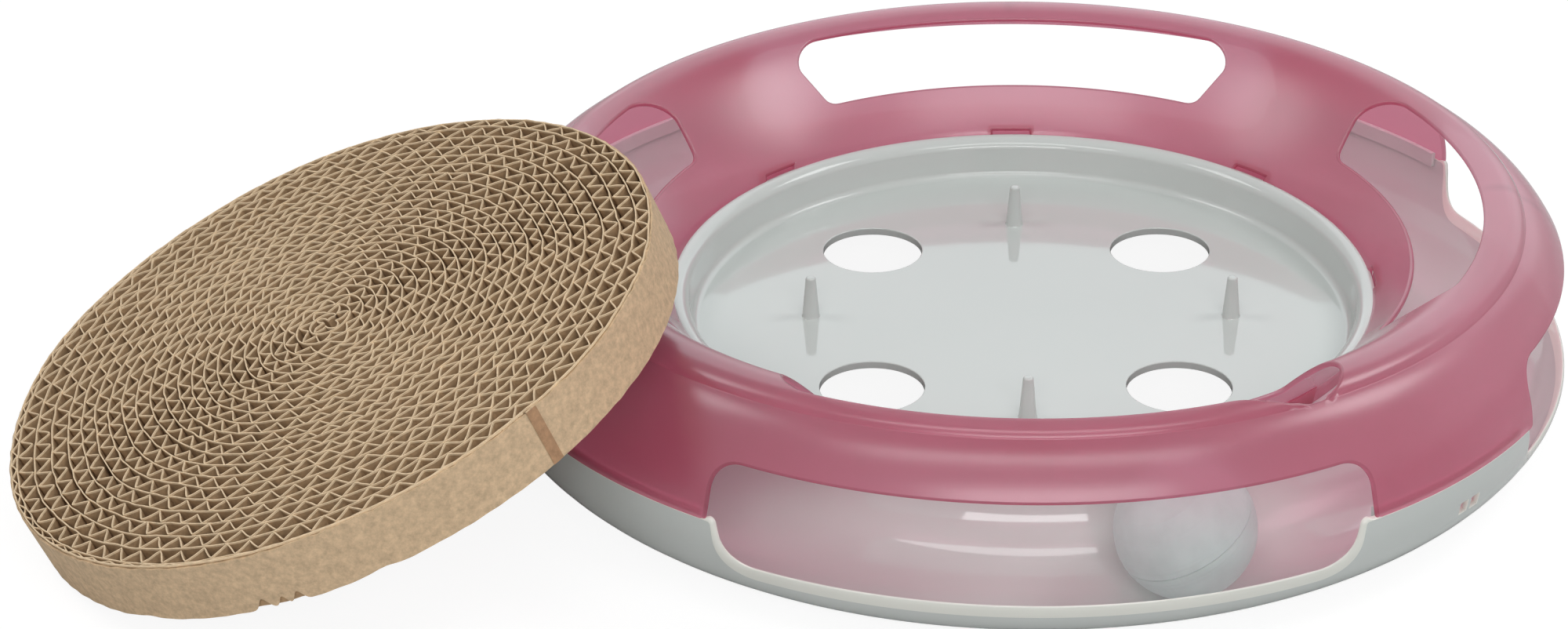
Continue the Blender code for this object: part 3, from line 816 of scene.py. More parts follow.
def tray_section():
    """The tray's section from the flat floor over the rim and back under the floor, in metres."""
    fillet = curve_between((TRAY_EDGE, 0.0), 0, 1.4, (111.2, 2.5), 84, 1.4)
    wall = straight((111.2, 2.5), (112.1, 9.5), 1.0)
    turn = np.linspace(math.pi, math.pi / 2, 16)
    rim = np.column_stack([117.0 + 4.9 * np.cos(turn), 9.5 + 4.1 * np.sin(turn)])
    back = [(118.0, 13.4), (118.4, 12.6), (118.4, 8.7), (119.9, 8.7), (119.9, 7.4)]
    under = [(118.1, 7.0), (116.6, 6.2), (114.6, -0.6), (113.4, -2.3), (110.4, -2.6), (TRAY_EDGE, -2.6)]
    return joined(fillet, wall, rim, back, under) * MM


def add_floor(parts, sizes, edge_radius, steps):
    """The tray's flat floor with its four round holes."""
    hole_steps = 72
    bevel = 0.35 * MM
    hole = sizes.hole_radius
    under = sizes.floor_thickness
    section = [(hole + 0.2 * MM, -under), (hole, -under + 0.2 * MM)]
    for turn in np.linspace(math.pi / 2, 0, 5):
        section.append((hole + bevel * (1 - math.sin(turn)), -bevel * (1 - math.cos(turn))))
    holes = []
    for quarter in range(4):
        angle = math.pi / 4 + quarter * math.pi / 2
        middle = sizes.pin_circle * np.array([math.cos(angle), math.sin(angle)])
        holes.append(middle + circle(hole + bevel, hole_steps))
        add_turned(parts, np.array(section), hole_steps, middle)
    spacing = np.arange(-edge_radius, edge_radius, 8 * MM)
    x, y = np.meshgrid(spacing, spacing)
    inner = np.column_stack([x.ravel(), y.ravel()])
    points, triangles = filled_triangles(circle(edge_radius, steps), holes, inner, 3 * MM)
    up = np.tile([0.0, 0.0, 1.0], (len(points), 1))
    flat = np.column_stack([points, np.zeros(len(points))])
    parts.add(flat, up, triangles)
    parts.add(flat - up * under, -up, triangles)


def circle(radius, steps):
    """Points round a circle about the middle."""
    angles = np.arange(steps) * 2 * math.pi / steps
    return radius * np.column_stack([np.cos(angles), np.sin(angles)])


def add_pins(parts, sizes):
    """The four tapered pins that hold the pad."""
    top = sizes.pin_height / MM
    foot = curve_between((3.8, -0.4), 180, 0.6, (2.9, 0.9), 93, 0.6)
    side = straight((2.9, 0.9), (1.75, top - 0.8), 2.0)
    turn = np.linspace(0, math.pi / 2, 6)
    tip = np.column_stack([0.95 + 0.8 * np.cos(turn), top - 0.8 + 0.8 * np.sin(turn)])
    section = joined(foot, side, tip, [(0.6, top), (0.001, top)]) * MM
    for quarter in range(4):
        angle = quarter * math.pi / 2
        middle = (sizes.pin_circle * math.cos(angle), sizes.pin_circle * math.sin(angle))
        add_turned(parts, section, 40, middle)


# The tongue at each post that stands up behind the cover's foot
TONGUE_SECTION = np.array([
    (181.2, 8.0), (182.8, 8.0), (182.8, 13.0), (182.5, 13.3), (181.5, 13.3), (181.2, 13.0)]) * MM
TONGUE_ANGLES = ((33.8, 51.9, 40), (-38.1, -33.8, 8))
HOOK_SLOTS = ((45.3, 46.6), (47.0, 48.4))
SLOT_LOW = -3.8 * MM
SLOT_HIGH = 1.6 * MM
# The scoop's lip stands out most at its bottom, furthest near the wall's inner face
POST_LIP = 0.3 * MM
LIP_AT_TOP = 1.0 * MM
LIP_GROWTH = 3.1 * MM
LIP_FALL = 1.6
LIP_TIP = 0.92


class CATTOY_OT_base(bpy.types.Operator):
    """Makes the off-white base with its gutter, tray, pins and holes"""

    bl_idname = "cattoy.make_base"
    bl_label = "Make base"

    def execute(self, context):
        sizes = context.scene.cattoy_base
        line = gutter_line()
        rows = sheet_rows(line, 2.6 * MM)
        bottom = line.along_at(sizes.scoop_bottom, line.end / 2)
        half = sizes.scoop_half_angle
        notch = notch_path(line, bottom, -half, half, sizes.scoop_corner)

        def rim(loop):
            return np.full(len(loop), POST_LIP)

        def lip(loop):
            height = np.interp(loop[:, 0], line.length, line.points[:, 1])
            share = (height - sizes.scoop_bottom) / (LIP_HEIGHT * MM - sizes.scoop_bottom)
            reach = LIP_GROWTH * (1 - np.clip(share, 0, 1)) ** LIP_FALL + LIP_AT_TOP
            reach[np.abs(loop[:, 1]) > half + math.radians(0.4)] = POST_LIP
            return reach

        slots = []
        low = line.along_at(SLOT_LOW, line.end / 2)
        high = line.along_at(SLOT_HIGH, line.end / 2)
        for first, last in HOOK_SLOTS:
            left, right = math.radians(first) * RING_RADIUS, math.radians(last) * RING_RADIUS
            box = [(high, left), (high, right), (low, right), (low, left)]
            slots.append(rounded_path(box, [0.4 * MM] * 4, 0.6 * MM, True))
        quarters = []
        for windows in ([], slots):
            parts = MeshParts()
            turned_sheet(parts, line, sizes.wall, windows, notch, rim, (lip, LIP_TIP), rows, sizes.columns)
            for first, last, steps in TONGUE_ANGLES:
                add_block(parts, TONGUE_SECTION, math.radians(first), math.radians(last), steps)
            quarters.append(parts)
        whole = put_round([quarters[0]] * 3 + [quarters[1]])
        section = tray_section()
        steps = 288
        add_turned(whole, section[::-1], steps)
        add_floor(whole, sizes, float(section[0, 0]), steps)
        add_pins(whole, sizes)
        mesh = whole.mesh("base")
        face = pale_plastic("pale_plastic", sizes.colour)
        # The rounded edges, the scoops' lips among them, get a paler plastic than the faces: painted
        # highlight.
        edges = pale_plastic("pale_edge_painted_highlight", shade(sizes.colour, 1.36, 1.30, 1.24))
        new_piece("base", mesh, [face, edges], "ring", ["base_tray"])
        return {"FINISHED"}


class BallSettings(bpy.types.PropertyGroup):
    """Sizes and colour of the ball."""

    colour: colour_setting("Colour", "Colour of the ball's plastic", 226, 238, 236)
    wall: length_setting("Wall", "Thickness of the ball's shells", 1.5)
    axis: numbers_setting("Axis", "The way that is up through both shells", (-0.476, -0.122, 0.871))
    seam_height: length_setting("Seam height", "How far the seam stands out", 0.12)
    columns: count_setting("Columns", "Steps round the ball", 128, 24)


# Rings on the shells: place as a share of the radius, and height in millimetres
SHELL_RINGS = ((0.107, 0.12), (0.166, 0.12), (0.187, 0.10), (0.53, 0.06), (0.737, 0.06))
BESIDE_SEAM = 0.2
RING_WIDTH = 0.007
SEAM_WIDTH = 0.012
# The shell lies this far inside the ball's radius, to leave room for its rings and seam
SHELL_INSET = 0.12 * MM


def shell_section(radius, wall, seam_height, upper):
    """One half shell of the ball, from its pole over the seam and back inside, in metres.

    The lower shell has only the rings beside the seam.
    """
    section = []
    for turn in np.linspace(math.pi / 2, 0.004, 150):
        level = math.sin(turn)
        bump = -SHELL_INSET
        for place, height in SHELL_RINGS:
            if upper or place < BESIDE_SEAM:
                bump += height * MM * math.exp(-((level - place) / RING_WIDTH) ** 2)
        bump += seam_height * math.exp(-(level / SEAM_WIDTH) ** 2)
        section.append(((radius + bump) * math.cos(turn), (radius + bump) * level))
    for turn in np.linspace(0.004, math.pi / 2, 40):
        section.append(((radius - wall) * math.cos(turn), (radius - wall) * math.sin(turn)))
    section = np.array(section)
    section[:, 0] = np.maximum(section[:, 0], 1e-6)
    if not upper:
        section[:, 1] = -section[:, 1]
        section = section[::-1]
    return section


class CATTOY_OT_ball(bpy.types.Operator):
    """Makes the two shells of the ball"""

    bl_idname = "cattoy.make_ball"
    bl_label = "Make ball"

    def execute(self, context):
        sizes = context.scene.cattoy_ball
        turn = Vector(sizes.axis).normalized().to_track_quat("Z", "Y").to_matrix().to_4x4()
        place = Matrix.Translation(Vector([float(v) for v in BALL_MIDDLE])) @ turn
        material = milky_plastic(sizes.colour)
        for name, upper in (("ball_upper_shell", True), ("ball_lower_shell", False)):
            parts = MeshParts()
            section = shell_section(BALL_RADIUS, sizes.wall, sizes.seam_height, upper)
            add_turned(parts, section[::-1], sizes.columns)
            node = "ball_upper_half" if upper else "ball_lower_half"
            new_piece(name, parts.mesh(name, 0), [material], "ball", [node], place)
        return {"FINISHED"}


class PadSettings(bpy.types.PropertyGroup):
    """Sizes and colours of the cardboard pad."""

    # Paler than the board: partly the paler torn fibres of the cut edges, partly painted highlight where
    # light falls on the tops.
    torn_and_lit_edge_colour: colour_setting("Cut edge colour", "Colour of the paper's cut edges", 234, 209, 174)
    # The board's walls below their top rows: the board's own brown, darkened as painted shade of the deep
    # cells.
    board_and_shade_colour: colour_setting("Board colour", "Colour inside the board", 178, 148, 113)
    band_colour: colour_setting("Band colour", "Colour of the band round the pad", 207, 180, 146)
    pitch: length_setting("Pitch", "Distance between neighbouring turns of the board", 4.65)
    flute: length_setting("Flute", "Length of one flute along the board", 8.3)
    liner: length_setting("Liner", "Thickness of the flat paper", 0.4)
    medium: length_setting("Fluted paper", "Thickness of the fluted paper", 0.42)
    wrap: length_setting("Wrap", "Thickness of the band round the pad", 0.7)
    core: length_setting("Core", "Radius at which the board starts", 3.2)
    middle: numbers_setting(
        "Middle", "Where the winding starts, from the pad's middle",
        (-2.5 * MM, -2.7 * MM), "LENGTH", "TRANSLATION")
    overlap_angle: angle_setting("Overlap", "Where the band's outer end lies", 112.5)
    seed: count_setting("Seed", "Start of the pad's small irregularities", 11, 0)


def drift(x, y, seed, count=7, shortest=0.022, longest=0.07):
    """A smooth two-way wander over the pad's face, between about -1 and 1."""
    chance = np.random.default_rng(seed)
    dx = np.zeros_like(x)
    dy = np.zeros_like(x)
    for i in range(count):
        heading = chance.uniform(0, 2 * math.pi)
        wave = chance.uniform(shortest, longest)
        shift = chance.uniform(0, 2 * math.pi)
        push = chance.uniform(0, 2 * math.pi)
        swing = np.sin(2 * math.pi * (x * math.cos(heading) + y * math.sin(heading)) / wave + shift)
        dx += swing * math.cos(push) / math.sqrt(count)
        dy += swing * math.sin(push) / math.sqrt(count)
    return dx, dy


def wavering(length, spacing, seed):
    """A smooth random value between -1 and 1 along a length, changing about every spacing."""
    chance = np.random.default_rng(seed)
    knots = np.arange(0, length.max() + 3 * spacing, spacing)
    values = chance.uniform(-1, 1, len(knots))
    place = length / spacing
    low = np.floor(place).astype(int)
    share = place - low
    share = share * share * (3 - 2 * share)
    return values[low] * (1 - share) + values[low + 1] * share


def pad_shape(x, y):
    """Places on the pad, whose upper end is pushed towards the front and whose left rear bulges."""
    uphill = np.clip((PAD_RADIUS - x) / (2 * PAD_RADIUS), 0, 1) ** 2.5
    share = np.clip(np.hypot(x, y) / PAD_RADIUS, 0, 1)
    bulge = 0.019 * np.exp(-((np.arctan2(y, x) + 0.75) / 0.34) ** 2) * share ** 2
    return x * (1 + bulge) - 1.8 * MM * uphill, y * (1 + bulge) + 9.8 * MM * uphill


GIVING_TURNS = 8


def whole_turns(sizes, outer):
    """How many turns the board makes from the core to the band."""
    return (outer - sizes.liner - sizes.core) / sizes.pitch


def turn_radius(turns, sizes, outer):
    """How far from the middle the board's flat paper lies after so many turns.

    The last turn lies along the band, and the turns under it give way to it.
    """
    whole = whole_turns(sizes, outer)
    near_end = np.clip((turns - whole + 1 + GIVING_TURNS) / GIVING_TURNS, 0, 1) ** 2
    last = np.clip(whole - turns, 0, 1)
    return sizes.core + sizes.pitch * (turns + np.where(turns > whole - 1, last, near_end))


def spiral_place(turns, across, sizes, outer):
    """Where the board lies after so many turns, and a share of the way across to the turn inside it."""
    radius = turn_radius(turns, sizes, outer)
    inside = np.maximum(turn_radius(turns - 1, sizes, outer), 0.4 * MM)
    radius = radius + (inside - radius) * across
    share = np.clip(radius / outer, 0, 1)
    angle = (turns - whole_turns(sizes, outer)) * 2 * math.pi + sizes.overlap_angle
    x = sizes.middle[0] * (1 - share ** 2) + radius * np.cos(angle)
    y = sizes.middle[1] * (1 - share ** 2) + radius * np.sin(angle)
    dx, dy = drift(x, y, sizes.seed)
    loose = np.clip((outer - np.hypot(x, y)) / (14 * MM), 0, 1) * 0.7 * MM
    return x + dx * loose, y + dy * loose


def turns_at(length, sizes):
    """How many turns of the spiral a length of board makes."""
    return (-sizes.core + np.sqrt(sizes.core * sizes.core + sizes.pitch * length / math.pi)) / sizes.pitch


def add_ribbon(parts, x, y, thickness, drops, tops, bottoms, materials):
    """An upright strip of paper along a line on the pad's face.

    drops are the distances of its rows below its top edge. materials are its edges' and its sides'; the
    edges' one also covers the sides' top row, a pale band of torn fibre and painted highlight.
    """
    dx, dy = np.gradient(x), np.gradient(y)
    size = np.hypot(dx, dy)
    nx, ny = -dy / size, dx / size
    count = len(x)
    rows = []
    shades = []
    for side in (1, -1):
        for height in [tops - drop for drop in drops] + [bottoms]:
            out, back = side * nx * thickness / 2, side * ny * thickness / 2
            rows.append(np.column_stack([x + out, y + back, height]))
            shades.append(np.column_stack([side * nx, side * ny, np.zeros(count)]))
    depth = len(drops) + 1
    walls = []
    torn_and_lit_faces = []
    for start in (0, depth):
        for row in range(depth - 1):
            top = (start + row) * count
            low = top + count
            faces = torn_and_lit_faces if row == 0 else walls
            faces += [(top + i, top + i + 1, low + i + 1, low + i) for i in range(count - 1)]
    parts.add(np.vstack(rows), np.vstack(shades), walls, materials[1])
    parts.add(np.vstack(rows), np.vstack(shades), torn_and_lit_faces, materials[0])
    up = np.tile([0.0, 0.0, 1.0], (2 * count, 1))
    edge = [(i, count + i, count + i + 1, i + 1) for i in range(count - 1)]
    parts.add(np.vstack([rows[0], rows[depth]]), up, edge, materials[0])
    edge = [(i, i + 1, count + i + 1, count + i) for i in range(count - 1)]
    parts.add(np.vstack([rows[depth - 1], rows[-1]]), -up, edge, materials[0])


# How much flutes differ in length, lean and height, as shares
SPAN_SPREAD = 0.09
LEAN_SPREAD = 0.13
CRUSH_SPREAD = 0.16
# How close the flutes' tips come to a sharp bend, which is 1
FLUTE_SHARPNESS = 0.985


def flute_line(total, sizes):
    """Lengths along the board and how far across its gap the fluted paper stands there, from 0 to 1."""
    chance = np.random.default_rng(sizes.seed + 1)
    lengths = []
    across = []
    at = 0.0
    shares = np.linspace(0, 1, 15)[:-1]
    sharp = FLUTE_SHARPNESS
    while at < total - sizes.flute:
        span = sizes.flute * (1 + SPAN_SPREAD * chance.uniform(-1, 1))
        lean = LEAN_SPREAD * chance.uniform(-1, 1)
        crush = 1 - CRUSH_SPREAD * chance.uniform(0, 1) ** 3
        bent = shares + lean * np.sin(2 * math.pi * shares) / (2 * math.pi) * 1.6
        wave = 0.5 - 0.5 * np.arcsin(sharp * np.cos(2 * math.pi * bent)) / math.asin(sharp)
        lengths.append(at + shares * span)
        across.append(wave * crush)
        at += span
    return np.concatenate(lengths), np.concatenate(across)


# Places where the band's lower edge is crushed: angle from its outer end, depth in millimetres and width
NOTCHES = ((309.0, 4.4, 1.1), (312.3, 3.6, 0.8), (315.0, 4.2, 0.9), (329.0, 1.0, 2.5), (286.0, 0.9, 3.0))


def dents_at(degrees):
    """How high the crushed places reach at angles from the band's outer end."""
    depth = np.zeros_like(degrees)
    for place, height, width in NOTCHES:
        depth += height * MM * np.exp(-((degrees - place) / width) ** 2)
    return depth


# The top row of each board strip, down to the second drop, takes the cut-edge paper: paler torn fibre and
# painted highlight.
BOARD_DROPS = (0.0, 0.6 * MM, 4 * MM, 12 * MM)
BAND_DROPS = (0.0, 0.5 * MM, 4 * MM, 9 * MM, 14 * MM)


class CATTOY_OT_winding(bpy.types.Operator):
    """Winds the pad's corrugated board"""

    bl_idname = "cattoy.make_winding"
    bl_label = "Make winding"

    def execute(self, context):
        sizes = context.scene.cattoy_pad
        outer = PAD_RADIUS - sizes.wrap
        whole = whole_turns(sizes, outer)
        total = math.pi * whole * (2 * sizes.core + sizes.pitch * whole)
        parts = MeshParts()

        def add_paper(length, across, thickness, top, material):
            turns = turns_at(length, sizes)
            x, y = pad_shape(*spiral_place(turns, across, sizes, outer))
            bottom = 0.3 * MM + dents_at((turns - whole) * 360 + 360)
            top = np.minimum(top, PAD_THICKNESS)
            add_ribbon(parts, x, y, thickness, BOARD_DROPS, top, bottom, (0, material))

        def wander(spacing, seed):
            return wavering(length, spacing, sizes.seed + seed)

        length = np.arange(0, total, 1.5 * MM)
        sway = 0.05 * wander(sizes.flute / 2, 8) + 0.05 * wander(11 * MM, 9)
        top = PAD_THICKNESS - 0.25 * MM + 0.2 * MM * wander(40 * MM, 2) + 0.1 * MM * wander(2.2 * MM, 3)
        add_paper(length, sway, sizes.liner, top, 1)
        length, across = flute_line(total, sizes)
        gap = sizes.pitch - sizes.liner - sizes.medium
        inward = (sizes.liner / 2 + sizes.medium / 2 + gap * across) / sizes.pitch
        top = PAD_THICKNESS - 0.35 * MM + 0.25 * MM * wander(30 * MM, 4) + 0.16 * MM * wander(1.6 * MM, 5)
        add_paper(length, inward, sizes.medium, top, 2)
        # The board's flat and fluted walls take the darker board colour, which holds painted shade of the
        # deep cells.
        materials = [
            paper("cut_edge_paper_painted_highlight", sizes.torn_and_lit_edge_colour, 0.12),
            paper("flat_paper", sizes.board_and_shade_colour),
            paper("fluted_paper", sizes.board_and_shade_colour, 0.24),
        ]
        mesh = parts.mesh("winding", 0)
        new_piece("winding", mesh, materials, "pad", ["pad_winding"], PAD_MATRIX)
        return {"FINISHED"}


class CATTOY_OT_wrap(bpy.types.Operator):
    """Makes the paper band round the pad"""

    bl_idname = "cattoy.make_wrap"
    bl_label = "Make wrap"

    def execute(self, context):
        sizes = context.scene.cattoy_pad
        parts = MeshParts()
        angles = np.linspace(0, 2 * math.pi, 1400)
        length = angles * PAD_RADIUS

        def wander(spacing, seed):
            return wavering(length, spacing, sizes.seed + seed)

        ripple = 0.11 * MM * (1 - np.cos(2 * math.pi * length / sizes.flute))
        ripple *= 0.4 + 0.6 * np.abs(wander(37 * MM, 10))
        radius = PAD_RADIUS - sizes.wrap / 2 - 0.1 * MM - ripple
        turn = sizes.overlap_angle + angles
        top = PAD_THICKNESS - 1.0 * MM + 0.3 * MM * wander(26 * MM, 6) + 0.25 * MM * wander(3 * MM, 12)
        top = np.minimum(top, PAD_THICKNESS)
        low = 0.1 * MM + 0.3 * MM * np.abs(wander(9 * MM, 7)) + dents_at(np.degrees(angles)) * 0.9
        x, y = pad_shape(radius * np.cos(turn), radius * np.sin(turn))
        add_ribbon(parts, x, y, sizes.wrap, BAND_DROPS, top, low, (0, 0))
        tail = angles < math.radians(2.2)
        out = radius[tail] + (sizes.wrap * 0.5 + 0.02 * MM)
        x, y = pad_shape(out * np.cos(turn[tail]), out * np.sin(turn[tail]))
        add_ribbon(parts, x, y, 0.12 * MM, BAND_DROPS, top[tail] - 0.2 * MM, low[tail], (1, 1))
        materials = [
            paper("band_paper", sizes.band_colour),
            paper("glued_paper", shade(sizes.band_colour, 0.68, 0.55, 0.48)),
        ]
        mesh = parts.mesh("wrap", 0)
        new_piece("wrap", mesh, materials, "pad", ["pad_wrap"], PAD_MATRIX)
        return {"FINISHED"}


# Materials

class Nodes:
    """Builds the node tree of a new material or world in short calls."""

    def __init__(self, owner, output="ShaderNodeOutputMaterial"):
        owner.use_nodes = True
        self.owner = owner
        self.tree = owner.node_tree
        self.tree.nodes.clear()
        self.output = self.add(output)

    def add(self, kind, **settings):
        """A node. Settings that name one of its sockets set that, and the rest set the node itself."""
        made = self.tree.nodes.new(kind)
        for key, value in settings.items():
            if hasattr(made, key):
                setattr(made, key, value)
                continue
            label = key.replace("_", " ").lower()
            socket = next(socket for socket in made.inputs if socket.name.lower() == label)
            if isinstance(value, bpy.types.NodeSocket):
                self.link(value, socket)
            else:
                socket.default_value = value
        return made

    def link(self, start, end):
        """Joins two sockets."""
        self.tree.links.new(start, end)

    def show(self, shader):
        """Sends a shader to the output."""
        self.link(shader, self.output.inputs["Surface"])

    def mixed(self, first, second, share):
        """Two nodes' shaders mixed. The share of the second is a number or a socket."""
        mix = self.add("ShaderNodeMixShader", Fac=share)
        self.link(first.outputs[0], mix.inputs[1])
        self.link(second.outputs[0], mix.inputs[2])
        return mix

    def math(self, operation, first, second):
        """Two numbers reckoned together. The first is a socket, and the second a number or a socket."""
        made = self.add("ShaderNodeMath", operation=operation)
        self.link(first, made.inputs[0])
        if isinstance(second, bpy.types.NodeSocket):
            self.link(second, made.inputs[1])
        else:
            made.inputs[1].default_value = second
        return made.outputs["Value"]

    def colour_ramp(self, factor, stops):
        """A ramp through colours at their places."""
        made = self.add("ShaderNodeValToRGB")
        ramp = made.color_ramp
        while len(ramp.elements) > 1:
            ramp.elements.remove(ramp.elements[-1])
        ramp.elements[0].position = stops[0][0]
        ramp.elements[0].color = stops[0][1]
        for place, colour in stops[1:]:
            ramp.elements.new(place).color = colour
        self.link(factor, made.inputs["Fac"])
        return made.outputs["Color"]

    def mottled(self, coords, scale, detail, low, high, **settings):
        """A colour that wanders from low to high, each with its place on the ramp, and its noise."""
        noise = self.add("ShaderNodeTexNoise", Scale=scale, Detail=detail, Vector=coords, **settings)
        return self.colour_ramp(noise.outputs["Fac"], [low[::-1], high[::-1]]), noise.outputs["Fac"]

    def bumped(self, height, strength, distance):
        """Normals roughened by a height."""
        made = self.add("ShaderNodeBump", Strength=strength, Distance=distance, Height=height)
        return made.outputs["Normal"]

    def show_solid(self, colour, roughness, normal):
        """Sends a plain opaque face to the output."""
        face = self.add("ShaderNodeBsdfPrincipled", Base_Color=colour, Roughness=roughness, Normal=normal)
        self.show(face.outputs["BSDF"])

    def show_from_outside(self, body):
        """Lets a wall act on light where it goes in, and not again where it comes out."""
        geometry = self.add("ShaderNodeNewGeometry")
        nothing = self.add("ShaderNodeBsdfTransparent", Color=WHITE)
        self.show(self.mixed(body, nothing, geometry.outputs["Backfacing"]).outputs["Shader"])


def new_material(name):
    """A new material's nodes, and the places on the piece that its patterns use."""
    nodes = Nodes(bpy.data.materials.new(name))
    return nodes, nodes.add("ShaderNodeTexCoord").outputs["Object"]


# Where the melt met in the mould, as shares of a turn, and how wide the lines are
FLOW_LINES = (0.2597, 0.5, 0.75)
FLOW_WIDTH = 0.0011
FLOW_SHADE = (0.76, 0.70, 0.74, 1)


def flow_lines(nodes, coords, plain):
    """Faint flow lines across the crest and the outer side, over a plain colour."""
    round_about = nodes.add("ShaderNodeTexGradient", gradient_type="RADIAL", Vector=coords)
    stops = [(0.0, WHITE)]
    for place in FLOW_LINES:
        stops += [(place - FLOW_WIDTH, WHITE), (place, FLOW_SHADE), (place + FLOW_WIDTH, WHITE)]
    lines = nodes.colour_ramp(round_about.outputs["Fac"], stops)
    flat = nodes.add("ShaderNodeVectorMath", operation="MULTIPLY")
    flat.inputs[1].default_value = (1, 1, 0)
    nodes.link(coords, flat.inputs[0])
    reach = nodes.add("ShaderNodeVectorMath", operation="LENGTH")
    nodes.link(flat.outputs["Vector"], reach.inputs[0])
    crest = nodes.add("ShaderNodeMapRange", From_Min=0.150, From_Max=0.157, Value=reach.outputs["Value"])
    share = crest.outputs["Result"]
    made = nodes.add("ShaderNodeMixRGB", blend_type="MULTIPLY", Color1=plain, Color2=lines, Fac=share)
    return made.outputs["Color"]


def pink_plastic(name, colour):
    """Translucent pink plastic with a satin face and faint flow lines where the melt met."""
    nodes, coords = new_material(name)
    plain = nodes.mottled(coords, 9.0, 3.0, (shade(colour, 0.96), 0.3), (shade(colour, 1.04), 0.7))[0]
    base = flow_lines(nodes, coords, plain)
    fine = nodes.add("ShaderNodeTexNoise", Scale=1400.0, Detail=2.0, Vector=coords)
    normal = nodes.bumped(fine.outputs["Fac"], 0.05, 0.0002)
    face = nodes.add("ShaderNodeBsdfDiffuse", Color=base, Normal=normal)
    through = nodes.add("ShaderNodeBsdfTranslucent", Color=base)
    frosted = nodes.add("ShaderNodeBsdfRefraction", Color=srgb(236, 164, 190), Roughness=0.7, IOR=1.2)
    clear = nodes.add("ShaderNodeBsdfTransparent", Color=srgb(240, 208, 214))
    gloss = nodes.add("ShaderNodeBsdfGlossy", Roughness=0.27, Normal=normal)
    sheen = nodes.add("ShaderNodeLayerWeight", Blend=0.42)
    path = nodes.add("ShaderNodeLightPath")
    share = nodes.add("ShaderNodeMapRange", To_Min=0.05, To_Max=0.42, Value=path.outputs["Is Shadow Ray"])
    body = nodes.mixed(face, through, 0.5)
    body = nodes.mixed(body, frosted, 0.4)
    body = nodes.mixed(body, gloss, sheen.outputs["Fresnel"])
    body = nodes.mixed(body, clear, share.outputs["Result"])
    nodes.show_from_outside(body)
    return nodes.owner


def pale_plastic(name, colour):
    """Glossy off-white plastic with a touch of green."""
    nodes, coords = new_material(name)
    base = nodes.mottled(coords, 7.0, 4.0, (shade(colour, 0.98), 0.3), (shade(colour, 1.02), 0.7))[0]
    fine = nodes.add("ShaderNodeTexNoise", Scale=60.0, Detail=2.0, Vector=coords)
    nodes.show_solid(base, 0.06, nodes.bumped(fine.outputs["Fac"], 0.04, 0.0004))
    return nodes.owner


def milky_plastic(colour):
    """Thin frosted plastic that lets light through."""
    nodes, coords = new_material("milky_plastic")
    base = nodes.mottled(coords, 120.0, 3.0, (shade(colour, 0.96), 0.3), (shade(colour, 1.04), 0.7))[0]
    face = nodes.add("ShaderNodeBsdfPrincipled", Base_Color=base, Roughness=0.4)
    through = nodes.add("ShaderNodeBsdfTranslucent", Color=base)
    clear = nodes.add("ShaderNodeBsdfTransparent", Color=srgb(240, 240, 240))
    nodes.show_from_outside(nodes.mixed(nodes.mixed(face, through, 0.5), clear, 0.12))
    return nodes.owner


def paper(name, colour, spread=0.2):
    """Brown paper with fibres and flecks round one colour."""
    nodes, coords = new_material(name)
    dark, pale = (shade(colour, 1 - spread), 0.32), (shade(colour, 1 + spread), 0.66)
    base, fibres = nodes.mottled(coords, 420.0, 6.0, dark, pale, Roughness=0.7)
    nodes.show_solid(base, 0.9, nodes.bumped(fibres, 0.25, 0.0003))
    return nodes.owner


def rubber():
    """Grey rubber for the feet."""
    nodes, coords = new_material("foot_rubber")
    dark, pale = (srgb(196, 196, 192), 0.3), (srgb(212, 212, 208), 0.7)
    base, grain = nodes.mottled(coords, 900.0, 4.0, dark, pale)
    nodes.show_solid(base, 0.7, nodes.bumped(grain, 0.2, 0.0002))
    return nodes.owner


class CATTOY_OT_feet(bpy.types.Operator):
    """Gives the four rubber feet their material"""

    bl_idname = "cattoy.make_feet"
    bl_label = "Make feet"

    def execute(self, context):
        material = rubber()
        found = [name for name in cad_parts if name.startswith("foot_")]
        if len(found) != 4:
            raise ValueError("the frame has no four feet")
        for name in found:
            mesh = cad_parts[name].data
            mesh.materials.clear()
            mesh.materials.append(material)
        return {"FINISHED"}


# Stage

class StageSettings(bpy.types.PropertyGroup):
    """Camera and light."""

    camera_place: numbers_setting(
        "Camera", "Where the camera stands",
        (-46.54 * MM, -1165.15 * MM, 602.92 * MM), "LENGTH", "TRANSLATION")
    heading: angle_setting("Heading", "How far the view turns to the left of straight ahead", 1.653)
    pitch: angle_setting("Pitch", "How far the view looks down", 27.33)
    roll: angle_setting("Roll", "Turn about the line of sight", -0.797)
    lens: bpy.props.FloatProperty(name="Lens", description="Focal length in millimetres", default=88.82)
    world_light: bpy.props.FloatProperty(
        name="Surrounding light", description="Strength of the light from all around", default=0.26)


def aim_camera(stage):
    """The camera that sees the model as the photograph does."""
    heading = stage.heading
    right_flat = Vector((math.cos(heading), math.sin(heading), 0))
    ahead_flat = Vector((-math.sin(heading), math.cos(heading), 0))
    ahead = ahead_flat * math.cos(stage.pitch) - Vector((0, 0, 1)) * math.sin(stage.pitch)
    up_flat = right_flat.cross(ahead)
    right = right_flat * math.cos(stage.roll) + up_flat * math.sin(stage.roll)
    up = up_flat * math.cos(stage.roll) - right_flat * math.sin(stage.roll)
    camera = bpy.data.cameras.new("camera")
    camera.lens = stage.lens
    camera.sensor_width = 36
    camera.clip_start = 0.01
    holder = bpy.data.objects.new("camera", camera)
    bpy.context.scene.collection.objects.link(holder)
    holder.matrix_world = axes_matrix(right, up, -ahead, stage.camera_place)
    bpy.context.scene.camera = holder


